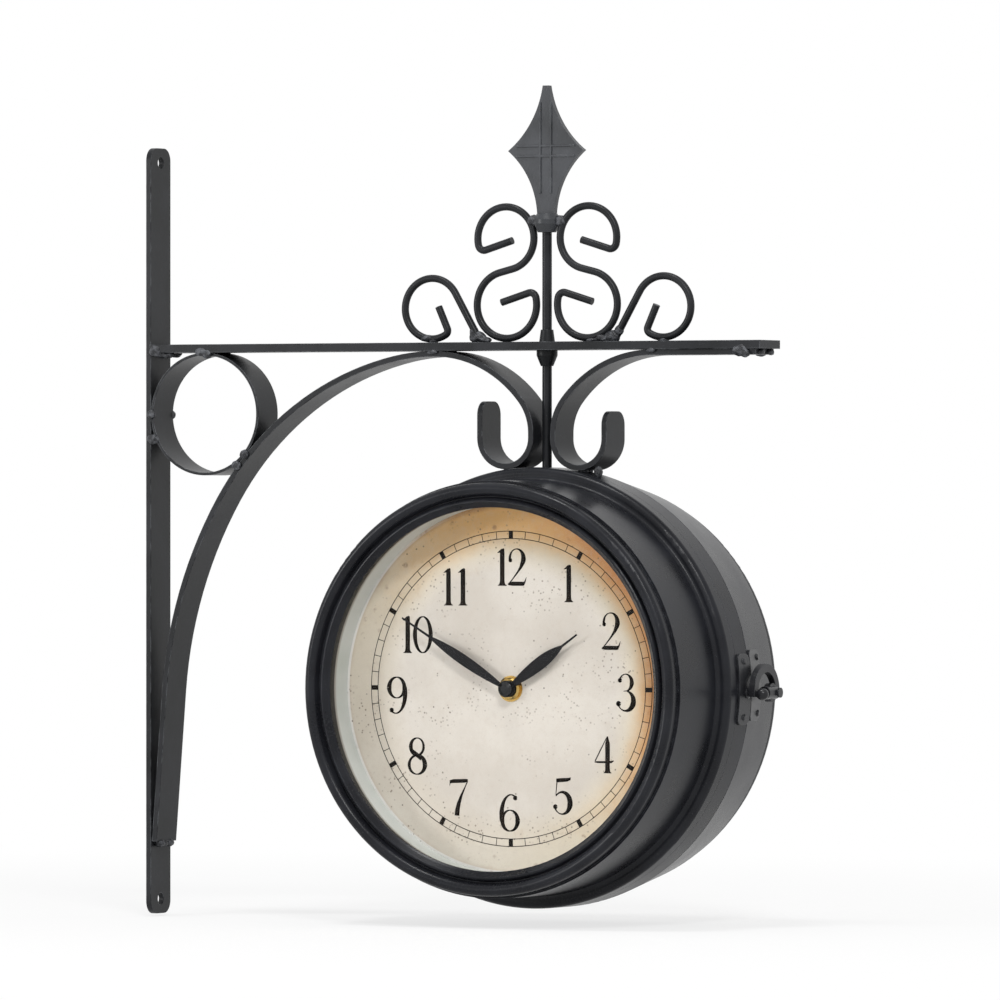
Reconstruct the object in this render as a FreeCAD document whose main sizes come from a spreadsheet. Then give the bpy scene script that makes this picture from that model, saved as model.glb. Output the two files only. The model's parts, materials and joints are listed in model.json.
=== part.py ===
import FreeCAD, Part
import math
import os
import re

import Sketcher
from FreeCAD import Placement, Rotation, Vector

# A double sided station clock on a wall bracket, in millimetres.
# X runs out from the wall, Z is up, and the front dial faces -Y. The origin is on the back
# face of the wall bar, half way between its two screw holes.

doc = FreeCAD.newDocument("StationClock")
sheet = doc.addObject("Spreadsheet::Sheet", "Sizes")

drivingSizes = {
    "wall bar": {
        "wallBarLength": 420,
        "wallBarWidth": 22,
        "wallBarThick": 3,
        "wallBarCorner": 7,
        "screwSpacing": 404,
        "screwHole": 6.5,
    },
    "arm, straps and ring": {
        "armTop": 102,
        "armWidth": 25,
        "armThick": 4.5,
        "armEnd": 374,
        "strapWidth": 22,
        "strapThick": 3,
        "strapCorner": 7.5,
        "strapSetback": 3,
        "ringThick": 1.5,
        "weldGap": 0.1,
        "braceTopBend": 116,
        "braceTopAngle": 11.7,
        "braceMidAngle": 46.7,
        "braceLowBend": 237,
        "braceLowAngle": 27.2,
        "braceFoot": 82.4,
        "footSeat": 2.05,
        "scrollBigBend": 69.3,
        "scrollBigAngle": 51.3,
        "scrollSmallBend": 29.6,
        "scrollClearance": 0.3,
        "scrollOffset": 7.4,
        "hookBend": 16.9,
        "hookLegLeft": 19.8,
        "hookLegRight": 14.9,
    },
    "hanger rod": {
        "rodReach": 241,
        "rodSize": 5.2,
        "rodSeat": 6.5,
        "rodTail": 10,
        "fitGap": 0.1,
        "upperCollarHeight": 6.6,
        "upperCollarSize": 8.6,
        "lowerCollarHeight": 8.5,
        "lowerCollarSize": 11.4,
        "collarNeck": 6.8,
        "rodNutSize": 10,
        "rodNutHeight": 4,
        "rodWasherSize": 16,
        "rodWasherThick": 1.2,
    },
    "scroll work and finial": {
        "wireSize": 4,
        "wireTailBend": 3.5,
        "scrollLowerBend": 18,
        "scrollUpperBend": 17,
        "scrollLink": 8.1,
        "scrollLinkAngle": 14,
        "scrollTailAngle": 17,
        "scrollStartAngle": 78,
        "scrollReach": 24.3,
        "scrollUpperTail": 17,
        "scrollLowerTail": 17,
        "curlBend": 16.4,
        "curlReach": 69.8,
        "curlLeg": 29.3,
        "curlLegAngle": 60,
        "curlAngle": 270,
        "curlTailBend": 2.6,
        "curlTailAngle": 84,
        "curlTail": 13,
        "finialThick": 3.5,
        "finialHeight": 69,
        "finialWide": 22.75,
        "finialWideHeight": 34,
        "finialTip": 1.8,
        "finialNeck": 5.15,
        "finialTopCurve": 54,
        "finialLowCurve": 47,
        "ribWide": 1,
        "ribHigh": 0.6,
        "ribSpread": 3.2,
        "ribPitch": 5.5,
        "ribDrop": 0.25,
        "ribHalf": 17.5,
        "ribLow": 11,
        "ribTop": 60,
        "knobRise": 59,
        "knobHeight": 10,
        "knobSize": 14.2,
        "knobNeck": 10,
    },
    "welds": {
        "beadLarge": 2.4,
        "beadSmall": 1.8,
        "beadKnob": 2.8,
        "beadScroll": 4.6,
        "beadInset": 0.5,
        "beadOut": 0.2,
        "beadSpread": 6,
        "scrollBeadPlace": 40.8,
        "scrollBeadRise": 3.2,
    },
    "case": {
        "caseHang": 63,
        "bandSize": 237,
        "rimStep": 7,
        "shellWall": 1,
        "lipGap": 0.2,
        "frontDepth": 70.5,
        "rearDepth": 45.5,
        "seamPlace": 4.75,
        "seamGap": 0.5,
        "bandWidth": 14.5,
        "bandLip": 5,
        "bandWall": 1.2,
        "stepLand": 6.8,
        "stepBend": 2.5,
        "bezelStep": 1.4,
        "bezelNose": 6.8,
        "bezelRoll": 3.2,
        "grooveReach": 6,
        "bezelGrooveDepth": 1.6,
        "bezelBead": 2.1,
        "bezelBeadHeight": 4.3,
        "bezelWall": 0.9,
        "bezelSkirt": 9,
        "bezelUndercut": 0.5,
        "shellEdge": 1.5,
        "bezelWidth": 14.5,
        "glassLap": 4,
        "glassThick": 2,
        "glassBack": 3,
        "gasketWall": 1,
        "spacerLap": 2,
        "spacerWall": 1.2,
        "spacerFlange": 3,
        "dialDepth": 23,
        "dialLap": 5,
        "dialThick": 0.8,
        "plateThick": 1,
        "plateFlange": 8,
    },
    "movement and hands": {
        "movementSize": 56,
        "movementThick": 16,
        "movementCorner": 4,
        "bushSize": 8,
        "bushBore": 4.8,
        "bushReach": 5.4,
        "spindleSize": 2.8,
        "spindleBore": 3,
        "tubeSize": 4.6,
        "tubeDepth": 4.5,
        "dialHole": 8.4,
        "batterySize": 14.5,
        "batteryLength": 50.5,
        "batteryOffset": 17,
        "batterySlack": 0.3,
        "washerSize": 14,
        "washerThick": 0.5,
        "nutSize": 12,
        "nutThick": 2.5,
        "handThick": 0.4,
        "hourHeight": 4.4,
        "handSpacing": 1.4,
        "hourAngle": 55,
        "minuteAngle": 301,
        "hourLength": 51,
        "hourBulge": 7,
        "hourBulgePlace": 24.5,
        "hourNeckPlace": 40,
        "minuteLength": 73,
        "minuteBulge": 5.8,
        "minuteBulgePlace": 29.5,
        "minuteNeckPlace": 53,
        "handRoot": 2.2,
        "handNeck": 1.3,
        "handTip": 0.9,
        "handHub": 4.5,
        "capSize": 8,
        "capHeight": 2,
        "knobWheel": 12,
        "knobThick": 3.5,
        "knobGap": 0.5,
    },
    "hinge": {
        "hingeHeight": 30,
        "hingePin": 3,
        "knuckleSize": 5.4,
        "hingeReach": 3,
        "leafWidth": 13,
        "leafThick": 1.2,
        "leafGap": 0.1,
        "knuckleGap": 0.3,
        "runningGap": 0.05,
        "pinHead": 4.6,
        "pinHeadThick": 1.2,
    },
    "latch": {
        "keeperHeight": 38,
        "keeperWidth": 13.6,
        "latchPlateWidth": 17,
        "latchRaise": 2,
        "plateCorner": 4,
        "latchPlateThick": 1.2,
        "rivetSize": 4,
        "rivetHigh": 0.9,
        "rivetInset": 4,
        "keeperHead": 6,
        "keeperHigh": 1.4,
        "hookGap": 0.35,
        "hookThick": 3.5,
        "hookOuter": 15.5,
        "hookInner": 11,
        "hookCentre": 8.5,
        "hookDrop": 2,
        "pivotPlace": 15.5,
        "pivotSize": 3,
        "pivotHead": 5.4,
        "pivotHeadHigh": 1.2,
        "hubSize": 10,
        "thumbSize": 7,
        "thumbLength": 13,
        "thumbStart": 3.6,
        "ballSize": 6.4,
        "ballNeck": 3.2,
        "ballStand": 0.6,
        "ballDrop": 0.5,
    },
}

# sizes that follow from the ones above
derivedSizes = {
    "caseDrop": "(bandSize / 2 + caseHang - armTop + armThick)",
    "stepDepth": "(frontDepth - bandWidth - lipGap - stepLand - 2 * (stepBend + shellWall))",
}

aliases = set()
quarterTurn = 90
halfTurn = 180
fullTurn = 360


def fillSheet():
    row = 1
    for group, entries in drivingSizes.items():
        sheet.set("A%d" % row, group)
        row += 1
        for alias, value in entries.items():
            sheet.set("A%d" % row, alias)
            sheet.set("B%d" % row, str(value))
            sheet.setAlias("B%d" % row, alias)
            aliases.add(alias)
            row += 1
    doc.recompute()


fillSheet()


def linked(formula):
    """The formula with each size name pointing at its cell."""
    def named(word):
        if word[0] in derivedSizes:
            return linked(derivedSizes[word[0]])
        return "Sizes." + word[0] if word[0] in aliases else word[0]

    return re.sub(r"[A-Za-z]\w*", named, str(formula))


def value(formula):
    return float(sheet.evalExpression(linked(formula)))


def bind(target, path, formula):
    target.setExpression(path, linked(formula))


parts = []


def finish(piece, label):
    """Name a finished sub-part and put it on the export list."""
    piece.Label = label
    parts.append(piece)
    return piece


def place(piece, rotation=None, x="0", y="0", z="0"):
    piece.Placement = Placement(Vector(value(x), value(y), value(z)), rotation or Rotation())
    for axis, formula in (("x", x), ("y", y), ("z", z)):
        bind(piece, "Placement.Base." + axis, formula)


# ---------------------------------------------------------------- sketches and features


def originPart(body, role):
    return next(item for item in body.Origin.OriginFeatures if item.Role == role)


def newBody(name):
    return doc.addObject("PartDesign::Body", name)


def newSketch(body, name, plane="XY_Plane"):
    sketch = body.newObject("Sketcher::SketchObject", name)
    sketch.AttachmentSupport = [(originPart(body, plane), "")]
    sketch.MapMode = "FlatFace"
    return sketch


def pin(sketch, kind, *where, formula):
    """One dimension of a sketch, tied to the sheet."""
    number = value(formula)
    index = sketch.addConstraint(Sketcher.Constraint(kind, *where, number))
    bind(sketch, "Constraints[%d]" % index, formula)


def arcThrough(start, end, radius, turn):
    """The short arc from start to end; turn is 1 for anticlockwise, -1 for clockwise."""
    chord = end - start
    reach = math.sqrt(max(radius * radius - chord.Length * chord.Length / 4, 0))
    side = Vector(-chord.y, chord.x, 0).normalize() * turn
    centre = start + chord / 2 + side * reach
    ends = (start, end) if turn > 0 else (end, start)
    angles = [math.atan2(p.y - centre.y, p.x - centre.x) for p in ends]
    return Part.ArcOfCircle(Part.Circle(centre, Vector(0, 0, 1), radius), *angles)


def outline(sketch, corners):
    """A closed outline. Each corner is (x, y), or (x, y, radius, turn) when an arc leads to it."""
    points = [Vector(value(c[0]), value(c[1]), 0) for c in corners]
    edges = []
    for index, corner in enumerate(corners):
        start = points[index - 1]
        end = points[index]
        if len(corner) == 2:
            edges.append((sketch.addGeometry(Part.LineSegment(start, end)), 1, 2))
        else:
            arc = sketch.addGeometry(arcThrough(start, end, value(corner[2]), corner[3]))
            edges.append((arc, 1, 2) if corner[3] > 0 else (arc, 2, 1))
    for index, corner in enumerate(corners):
        edge, first, last = edges[index]
        following = edges[(index + 1) % len(edges)]
        sketch.addConstraint(Sketcher.Constraint("Coincident", edge, last, following[0], following[1]))
        pin(sketch, "DistanceX", -1, 1, edge, last, formula=corner[0])
        pin(sketch, "DistanceY", -1, 1, edge, last, formula=corner[1])
        if len(corner) > 2:
            pin(sketch, "Radius", edge, formula=corner[2])


def circle(sketch, radius, x="0", y="0"):
    centre = Vector(value(x), value(y), 0)
    edge = sketch.addGeometry(Part.Circle(centre, Vector(0, 0, 1), value(radius)))
    pin(sketch, "DistanceX", -1, 1, edge, 3, formula=x)
    pin(sketch, "DistanceY", -1, 1, edge, 3, formula=y)
    pin(sketch, "Radius", edge, formula=radius)


def rectangle(x0, y0, x1, y1):
    return [(x0, y0), (x1, y0), (x1, y1), (x0, y1)]


def roundedRectangle(halfX, halfY, corner, x="0", y="0"):
    left, right = "%s - (%s)" % (x, halfX), "%s + (%s)" % (x, halfX)
    low, high = "%s - (%s)" % (y, halfY), "%s + (%s)" % (y, halfY)
    r = corner
    return [
        ("%s - %s" % (right, r), low), (right, "%s + %s" % (low, r), r, 1),
        (right, "%s - %s" % (high, r)), ("%s - %s" % (right, r), high, r, 1),
        ("%s + %s" % (left, r), high), (left, "%s - %s" % (high, r), r, 1),
        (left, "%s + %s" % (low, r)), ("%s + %s" % (left, r), low, r, 1),
    ]


def pad(body, sketch, length, midplane=False, reversed=False):
    feature = body.newObject("PartDesign::Pad", body.Name + "Pad")
    feature.Profile = sketch
    feature.Length = value(length)
    bind(feature, "Length", length)
    feature.Midplane = midplane
    feature.Reversed = reversed
    sketch.Visibility = False
    doc.recompute()
    return feature


def pocket(body, sketch, length=None, reversed=False):
    before = body.Shape.Volume
    feature = body.newObject("PartDesign::Pocket", body.Name + "Pocket")
    feature.Profile = sketch
    if length is None:
        feature.Type = "ThroughAll"
    else:
        feature.Length = value(length)
        bind(feature, "Length", length)
    feature.Reversed = reversed
    doc.recompute()
    if body.Shape.Volume >= before:
        raise ValueError(body.Name + ": the pocket cuts nothing")
    return feature


def revolve(body, sketch):
    feature = body.newObject("PartDesign::Revolution", body.Name + "Revolution")
    feature.Profile = sketch
    feature.ReferenceAxis = (sketch, ["V_Axis"])
    feature.Angle = 360
    doc.recompute()
    return feature


def turned(name, corners):
    """A round piece: its half section is drawn as (radius, height) and turned about Z."""
    body = newBody(name)
    sketch = newSketch(body, name + "Section", "XZ_Plane")
    outline(sketch, corners)
    revolve(body, sketch)
    return body


def washer(name, outer, inner, low, high):
    return turned(name, rectangle(inner, low, outer, high))


# ---------------------------------------------------------------- bent straps and rods


class BentPath:
    """A chain of tangent runs and bends in the XZ plane; a left bend has a positive turn."""

    def __init__(self, x, z, heading):
        self.point = Vector(x, 0, z)
        self.heading = math.radians(heading)
        self.steps = []
        self.centres = []

    def along(self):
        return Vector(math.cos(self.heading), 0, math.sin(self.heading))

    def left(self):
        return Vector(-math.sin(self.heading), 0, math.cos(self.heading))

    def run(self, length):
        start = self.point
        self.point = start + self.along() * length
        self.steps.append(("run", start, self.point, self.left()))
        return self

    def bend(self, radius, turn):
        side = 1 if turn > 0 else -1
        centre = self.point + self.left() * (radius * side)
        pieces = max(1, math.ceil(abs(turn) / 170))
        for _ in range(pieces):
            start, before = self.point, self.left()
            self.heading += math.radians(turn / pieces / 2)
            middle, between = centre - self.left() * (radius * side), self.left()
            self.heading += math.radians(turn / pieces / 2)
            self.point = centre - self.left() * (radius * side)
            self.steps.append(("bend", start, self.point, before, middle, between, self.left()))
        self.centres.append(centre)
        return self

    def edges(self, offset=0):
        """The path's edges, moved to its left by offset."""
        result = []
        for step in self.steps:
            start = step[1] + step[3] * offset
            if step[0] == "run":
                result.append(Part.LineSegment(start, step[2] + step[3] * offset).toShape())
            else:
                middle = step[4] + step[5] * offset
                result.append(Part.Arc(start, middle, step[2] + step[6] * offset).toShape())
        return result


def movedTo(path, centre, target):
    """How far the path moves so that one of its bend centres lies on the target."""
    return Vector(target[0], 0, target[1]) - path.centres[centre]


def strapSolid(path, thick, width):
    """Flat bar bent on the flat along the path."""
    near, far = path.edges(thick / 2), path.edges(-thick / 2)
    caps = []
    for end in (0, -1):
        corners = [edges[end].Vertexes[0 if end == 0 else -1].Point for edges in (near, far)]
        caps.append(Part.LineSegment(*corners).toShape())
    face = Part.Face(Part.Wire(Part.__sortEdges__(near + far + caps)))
    solid = face.extrude(Vector(0, width, 0))
    solid.translate(Vector(0, -width / 2, 0))
    return solid


def wireSolid(path, size):
    """Round rod bent along the path."""
    spine = Part.Wire(Part.__sortEdges__(path.edges()))
    first = path.steps[0]
    direction = Vector(first[3].z, 0, -first[3].x)
    section = Part.Wire(Part.Circle(first[1], direction, size / 2).toShape())
    return spine.makePipeShell([section], True, False)


def coded(name, label, shape):
    """A sub-part whose shape is worked out above from the sheet's sizes."""
    piece = doc.addObject("Part::Feature", name)
    piece.Shape = shape
    return finish(piece, label)


# ---------------------------------------------------------------- bracket


def wallBar():
    body = newBody("WallBar")
    sketch = newSketch(body, "WallBarOutline", "YZ_Plane")
    outline(sketch, roundedRectangle("wallBarWidth / 2", "wallBarLength / 2", "wallBarCorner"))
    pad(body, sketch, "wallBarThick")
    holes = newSketch(body, "WallBarHoles", "YZ_Plane")
    for side in ("-", ""):
        circle(holes, "screwHole / 2", y=side + "screwSpacing / 2")
    pocket(body, holes, reversed=True)
    finish(body, "wall_bar")


def armBar():
    body = newBody("ArmBar")
    sketch = newSketch(body, "ArmOutline")
    start, end = "wallBarThick", "armEnd"
    outline(sketch, rectangle(start, "-armWidth / 2", end, "armWidth / 2"))
    pad(body, sketch, "armThick")
    hole = newSketch(body, "ArmRodHole")
    circle(hole, "rodSize / 2 + fitGap", x="rodReach")
    pocket(body, hole, reversed=True)
    place(body, z="armTop - armThick")
    finish(body, "arm_bar")


armUnder = value("armTop - armThick - weldGap")
strapThick = value("strapThick")
strapWidth = value("strapWidth")
rodReach = value("rodReach")
caseDrop = value("caseDrop")
bigBend = value("scrollBigBend")
smallBend = value("scrollSmallBend")
bigTurn = value("scrollBigAngle")
hookBend = value("hookBend")
half = strapThick / 2


def scrollStart(offset):
    """How far from the rod a scroll leaves the arm, when its waist stands offset from the rod."""
    return offset + smallBend + (bigBend - smallBend) * math.sin(math.radians(bigTurn))


def hookHeight(offset):
    """The height at which the hook's bend rests on the round case band."""
    reach = value("bandSize / 2 + weldGap + scrollClearance") + hookBend
    across = offset + hookBend
    return math.sqrt(reach * reach - across * across) - caseDrop


def scrollBends(path, turn, offset, leg):
    """The scroll from the arm down to the waist, round the hook and up its short leg."""
    path.bend(bigBend - half, turn * bigTurn)
    path.bend(smallBend - half, turn * (quarterTurn - bigTurn))
    path.run(path.point.z - hookHeight(offset))
    path.bend(hookBend - half, turn * halfTurn)
    path.run(leg)


def rounded(solid, path, radius):
    """Round the two corners at the end of a strap."""
    corners = []
    for edge in solid.Edges:
        ends = [vertex.Point for vertex in edge.Vertexes]
        if len(ends) == 2 and all((end - path.point).Length < strapWidth for end in ends):
            flat = abs(ends[0].y - ends[1].y) < 0.001 and abs(ends[0].z - ends[1].z) < 0.001
            if flat and abs(ends[0].z - path.point.z) < 0.001:
                corners.append(edge)
    return solid.makeFillet(radius, corners)


def braceBends(tangent):
    """The brace's three bends; the long one is as large as it must be to bring the foot to the wall bar."""
    top, low = value("braceTopBend") - half, value("braceLowBend") - half
    angles = [value("braceTopAngle"), value("braceMidAngle"), value("braceLowAngle")]
    first = math.sin(math.radians(angles[0]))
    second = math.sin(math.radians(angles[0] + angles[1]))
    third = math.sin(math.radians(sum(angles)))
    span = tangent - value("wallBarThick + footSeat") - value("braceFoot") * math.cos(math.radians(sum(angles)))
    middle = (span - top * first - low * (third - second)) / (second - first)
    return [(top, angles[0]), (middle, angles[1]), (low, angles[2])]


def bracePath():
    """The brace from its foot on the wall bar, along under the arm, and down into the left scroll."""
    offset = value("rodSize / 2 + scrollClearance")
    tangent = rodReach - scrollStart(offset)
    bends = braceBends(tangent)
    down = BentPath(tangent, armUnder - half, halfTurn)
    for radius, angle in bends:
        down.bend(radius, angle)
    down.run(value("braceFoot"))
    path = BentPath(down.point.x, down.point.z, math.degrees(down.heading) - halfTurn)
    path.run(value("braceFoot"))
    for radius, angle in reversed(bends):
        path.bend(radius, -angle)
    middle = path.centres[1]
    scrollBends(path, -1, offset, value("hookLegLeft"))
    return path, middle, bends[1][0] + half


def straps():
    path, middle, longBend = bracePath()
    solid = strapSolid(path, strapThick, strapWidth)
    coded("BraceStrap", "brace_strap", rounded(solid, path, value("strapCorner")))
    right = value("scrollOffset")
    outer = value("armEnd - strapSetback")
    other = BentPath(outer, armUnder - half, halfTurn)
    other.run(outer - rodReach - scrollStart(right))
    scrollBends(other, 1, right, value("hookLegRight"))
    solid = strapSolid(other, strapThick, strapWidth)
    coded("ScrollStrap", "scroll_strap", rounded(solid, other, value("strapCorner")))
    return path, middle, longBend


def ringRadius(middle, longBend):
    """The ring that just touches the wall bar, the arm and the brace."""
    reach = longBend + value("weldGap")
    u = value("wallBarThick + weldGap") - middle.x
    v = armUnder - middle.z
    slope = u - v - reach
    return -slope - math.sqrt(slope * slope - (u * u + v * v - reach * reach))


def ringBand(middle, longBend):
    radius = ringRadius(middle, longBend)
    centre = Vector(value("wallBarThick + weldGap") + radius, 0, armUnder - radius)
    start = centre - Vector(0, strapWidth / 2, 0)
    outer = Part.makeCylinder(radius, strapWidth, start, Vector(0, 1, 0))
    inner = Part.makeCylinder(radius - value("ringThick"), strapWidth, start, Vector(0, 1, 0))
    coded("RingBand", "ring_band", outer.cut(inner))
    return centre, radius


def hangerRod():
    body = newBody("HangerRod")
    sketch = newSketch(body, "HangerRodSection")
    circle(sketch, "rodSize / 2")
    tail = "bandSize / 2 - caseDrop - rodTail"
    pad(body, sketch, "(armTop + knobRise) + rodSeat - (%s)" % tail)
    place(body, x="rodReach", z=tail)
    finish(body, "hanger_rod")


def collars():
    bore = "rodSize / 2 + fitGap"
    upper = turned("UpperCollar", [
        (bore, "0"), ("upperCollarSize / 2", "0"),
        ("collarNeck / 2", "upperCollarHeight"), (bore, "upperCollarHeight"),
    ])
    place(upper, x="rodReach", z="armTop")
    finish(upper, "upper_collar")
    lower = turned("LowerCollar", [
        (bore, "-lowerCollarHeight"), ("collarNeck / 2", "-lowerCollarHeight"),
        ("lowerCollarSize / 2", "-lowerCollarHeight / 3"), ("lowerCollarSize / 2", "0"), (bore, "0"),
    ])
    place(lower, x="rodReach", z="armTop - armThick")
    finish(lower, "lower_collar")


def rodFasteners():
    bore = "rodSize / 2 + fitGap"
    flatTop = "sqrt(%s ^ 2 - (rodWasherSize / 2) ^ 2) - caseDrop" % bandInner
    disc = washer("RodWasher", "rodWasherSize / 2", bore, "-rodWasherThick", "0")
    place(disc, x="rodReach", z=flatTop)
    finish(disc, "rod_washer")
    body = newBody("RodNut")
    sketch = newSketch(body, "RodNutSection")
    corner = "rodNutSize / 2"
    flat = "rodNutSize / 2 / sqrt(3)"
    outline(sketch, [
        (corner, "-" + flat), (corner, flat), ("0", "2 * " + flat),
        ("-" + corner, flat), ("-" + corner, "-" + flat), ("0", "-2 * " + flat),
    ])
    circle(sketch, bore)
    pad(body, sketch, "rodNutHeight")
    place(body, x="rodReach", z="%s - rodWasherThick - rodNutHeight" % flatTop)
    finish(body, "rod_nut")


# ---------------------------------------------------------------- scroll work and finial


def scrollRods():
    size = value("wireSize")
    seat = value("armTop + weldGap + wireSize / 2")
    slope = value("scrollLinkAngle")
    tail = value("scrollTailAngle")
    start = value("scrollStartAngle")
    for side, label in ((-1, "left"), (1, "right")):
        path = BentPath(0, 0, -tail)
        path.run(value("scrollUpperTail"))
        path.bend(value("wireTailBend"), start + tail)
        path.bend(value("scrollUpperBend"), fullTurn - start - slope)
        path.run(value("scrollLink"))
        path.bend(value("scrollLowerBend"), start + slope - fullTurn)
        path.bend(value("wireTailBend"), -start - tail)
        path.run(value("scrollLowerTail"))
        lower = value("scrollLowerBend")
        target = (value("scrollReach"), seat + lower)
        solid = wireSolid(path, size)
        solid.translate(movedTo(path, 2, target))
        coded("SScroll" + label.title(), "s_scroll_" + label, atRod(solid, side))
        curl = BentPath(0, 0, value("curlLegAngle"))
        curl.run(value("curlLeg"))
        curl.bend(value("curlBend"), -value("curlAngle"))
        curl.bend(value("curlTailBend"), -value("curlTailAngle"))
        curl.run(value("curlTail"))
        target = (value("curlReach"), seat + value("curlBend"))
        solid = wireSolid(curl, size)
        solid.translate(movedTo(curl, 0, target))
        coded("CScroll" + label.title(), "c_scroll_" + label, atRod(solid, side))


def atRod(solid, side):
    """The right hand piece as drawn, or its mirror image, carried to the rod."""
    if side < 0:
        solid = solid.mirror(Vector(0, 0, 0), Vector(1, 0, 0))
    solid.translate(Vector(rodReach, 0, 0))
    return solid


def finial():
    body = newBody("Finial")
    sketch = newSketch(body, "FinialOutline", "XZ_Plane")
    outline(sketch, [
        ("finialNeck", "0"),
        ("finialWide", "finialWideHeight", "finialLowCurve", -1),
        ("finialTip", "finialHeight", "finialTopCurve", -1),
        ("-finialTip", "finialHeight"),
        ("-finialWide", "finialWideHeight", "finialTopCurve", -1),
        ("-finialNeck", "0", "finialLowCurve", -1),
    ])
    pad(body, sketch, "finialThick", midplane=True)
    upright = newSketch(body, "FinialUprightRibs", "XZ_Plane")
    for side in ("-", ""):
        middle = side + "ribSpread"
        outline(upright, rectangle(middle + " - ribWide / 2", "ribLow", middle + " + ribWide / 2", "ribTop"))
    pad(body, upright, "finialThick + 2 * ribHigh", midplane=True)
    across = newSketch(body, "FinialCrossRibs", "XZ_Plane")
    for side in ("-", ""):
        middle = "finialWideHeight - ribDrop " + ("- " if side else "+ ") + "ribPitch / 2"
        outline(across, rectangle("-ribHalf", middle + " - ribWide / 2", "ribHalf", middle + " + ribWide / 2"))
    pad(body, across, "finialThick + 2 * ribHigh", midplane=True)
    place(body, x="rodReach", z="(armTop + knobRise) + knobHeight")
    finish(body, "finial")


def finialKnob():
    bore = "rodSize / 2 + fitGap"
    depth = "rodSeat + fitGap"
    knob = turned("FinialKnob", [
        (bore, "0"), ("knobNeck / 2", "0"), ("knobSize / 2", "knobHeight * 0.45"),
        ("knobSize / 2", "knobHeight * 0.7"), ("knobNeck / 2 + ribHigh", "knobHeight"), ("0", "knobHeight"),
        ("0", depth), (bore, depth),
    ])
    place(knob, x="rodReach", z="(armTop + knobRise)")
    finish(knob, "finial_knob")


def welds(ring, radius, middle, brace):
    """Beads where the bars meet, on the front and back edges, fitted round what they join."""
    side = strapWidth / 2
    under = value("armTop - armThick")
    wall = value("wallBarThick")
    large = value("beadLarge")
    small = value("beadSmall")
    inset = value("beadInset")
    toBrace = (middle - ring).normalize() * radius + ring
    foot = brace.steps[0][1]
    tangent = rodReach - scrollStart(value("rodSize / 2 + scrollClearance"))
    leave = rodReach + scrollStart(value("scrollOffset"))
    spots = []
    for sign in (-1, 1):
        y = sign * side
        spots += [
            (wall, y, under, large),
            (ring.x, y, under, large),
            (wall, y, ring.z, large),
            (toBrace.x, y + sign * value("beadOut"), toBrace.z, large),
            (foot.x, y / 2, foot.z - inset, large),
            (tangent, y, under, small),
            (leave, y, under, small),
            (value("armEnd - strapSetback"), y / 2, under - half, large),
        ]
    knobHeight = value("(armTop + knobRise) + knobHeight / 2 + beadInset")
    scrollHeight = value("armTop + scrollBeadRise")
    for sign in (-1, 1):
        spots += [
            (rodReach + sign * value("scrollBeadPlace"), 0, scrollHeight, value("beadScroll")),
            (rodReach + sign * value("curlReach"), 0, value("armTop"), large),
            (rodReach + sign * value("knobSize / 2 + 2 * beadInset"), 0, knobHeight, value("beadKnob")),
        ]
    right = value("scrollOffset") + hookBend
    left = value("rodSize / 2 + scrollClearance") + hookBend
    around = value("bandSize / 2")
    for across in (right, -left):
        lift = math.sqrt(around * around - across * across) - caseDrop + inset
        for y in (-value("beadSpread"), inset):
            spots.append((rodReach + across, y, lift, large))
    return [Part.makeSphere(size, Vector(x, y, z)) for x, y, z, size in spots]


def weldBeads(beads):
    neighbours = [piece for piece in parts if piece.Label != "rear_shell"]
    solids = []
    for bead in beads:
        near = []
        for piece in neighbours:
            if piece.Shape.BoundBox.intersect(bead.BoundBox):
                near.append(piece.Shape)
        for shape in near:
            bead = bead.cut(shape)
        solids += [solid for solid in bead.Solids if solid.Volume > 1]
    coded("WeldBeads", "weld_beads", Part.makeCompound(solids))


# ---------------------------------------------------------------- case

bandRadius = "bandSize / 2"
rimSize = "(bandSize - 2 * rimStep)"
rimRadius = rimSize + " / 2"
openingSize = "(bandSize - 2 * (rimStep + bezelWidth))"
openingRadius = openingSize + " / 2"
glassRadius = "(%s + glassLap)" % openingRadius
spacerRadius = "(%s + spacerLap)" % openingRadius
frontTurn = Rotation(Vector(1, 0, 0), 90)
rearTurn = Rotation(Vector(0, 0, 1), 180).multiply(Rotation(Vector(1, 0, 0), 90))
frontPlane = "seamPlace - frontDepth"
rearPlane = "seamPlace + rearDepth"
coneSlope = "rimStep / (rearDepth - shellEdge - seamGap / 2)"
lipRadius = "bandSize / 2 - shellWall - lipGap"
lipTip = "%s - (bandLip + seamGap) * %s" % (lipRadius, coneSlope)
bandInner = "(%s - bandWall)" % lipTip


def onFront(piece):
    place(piece, frontTurn, "rodReach", frontPlane, "-caseDrop")


def onRear(piece):
    place(piece, rearTurn, "rodReach", rearPlane, "-caseDrop")


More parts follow.
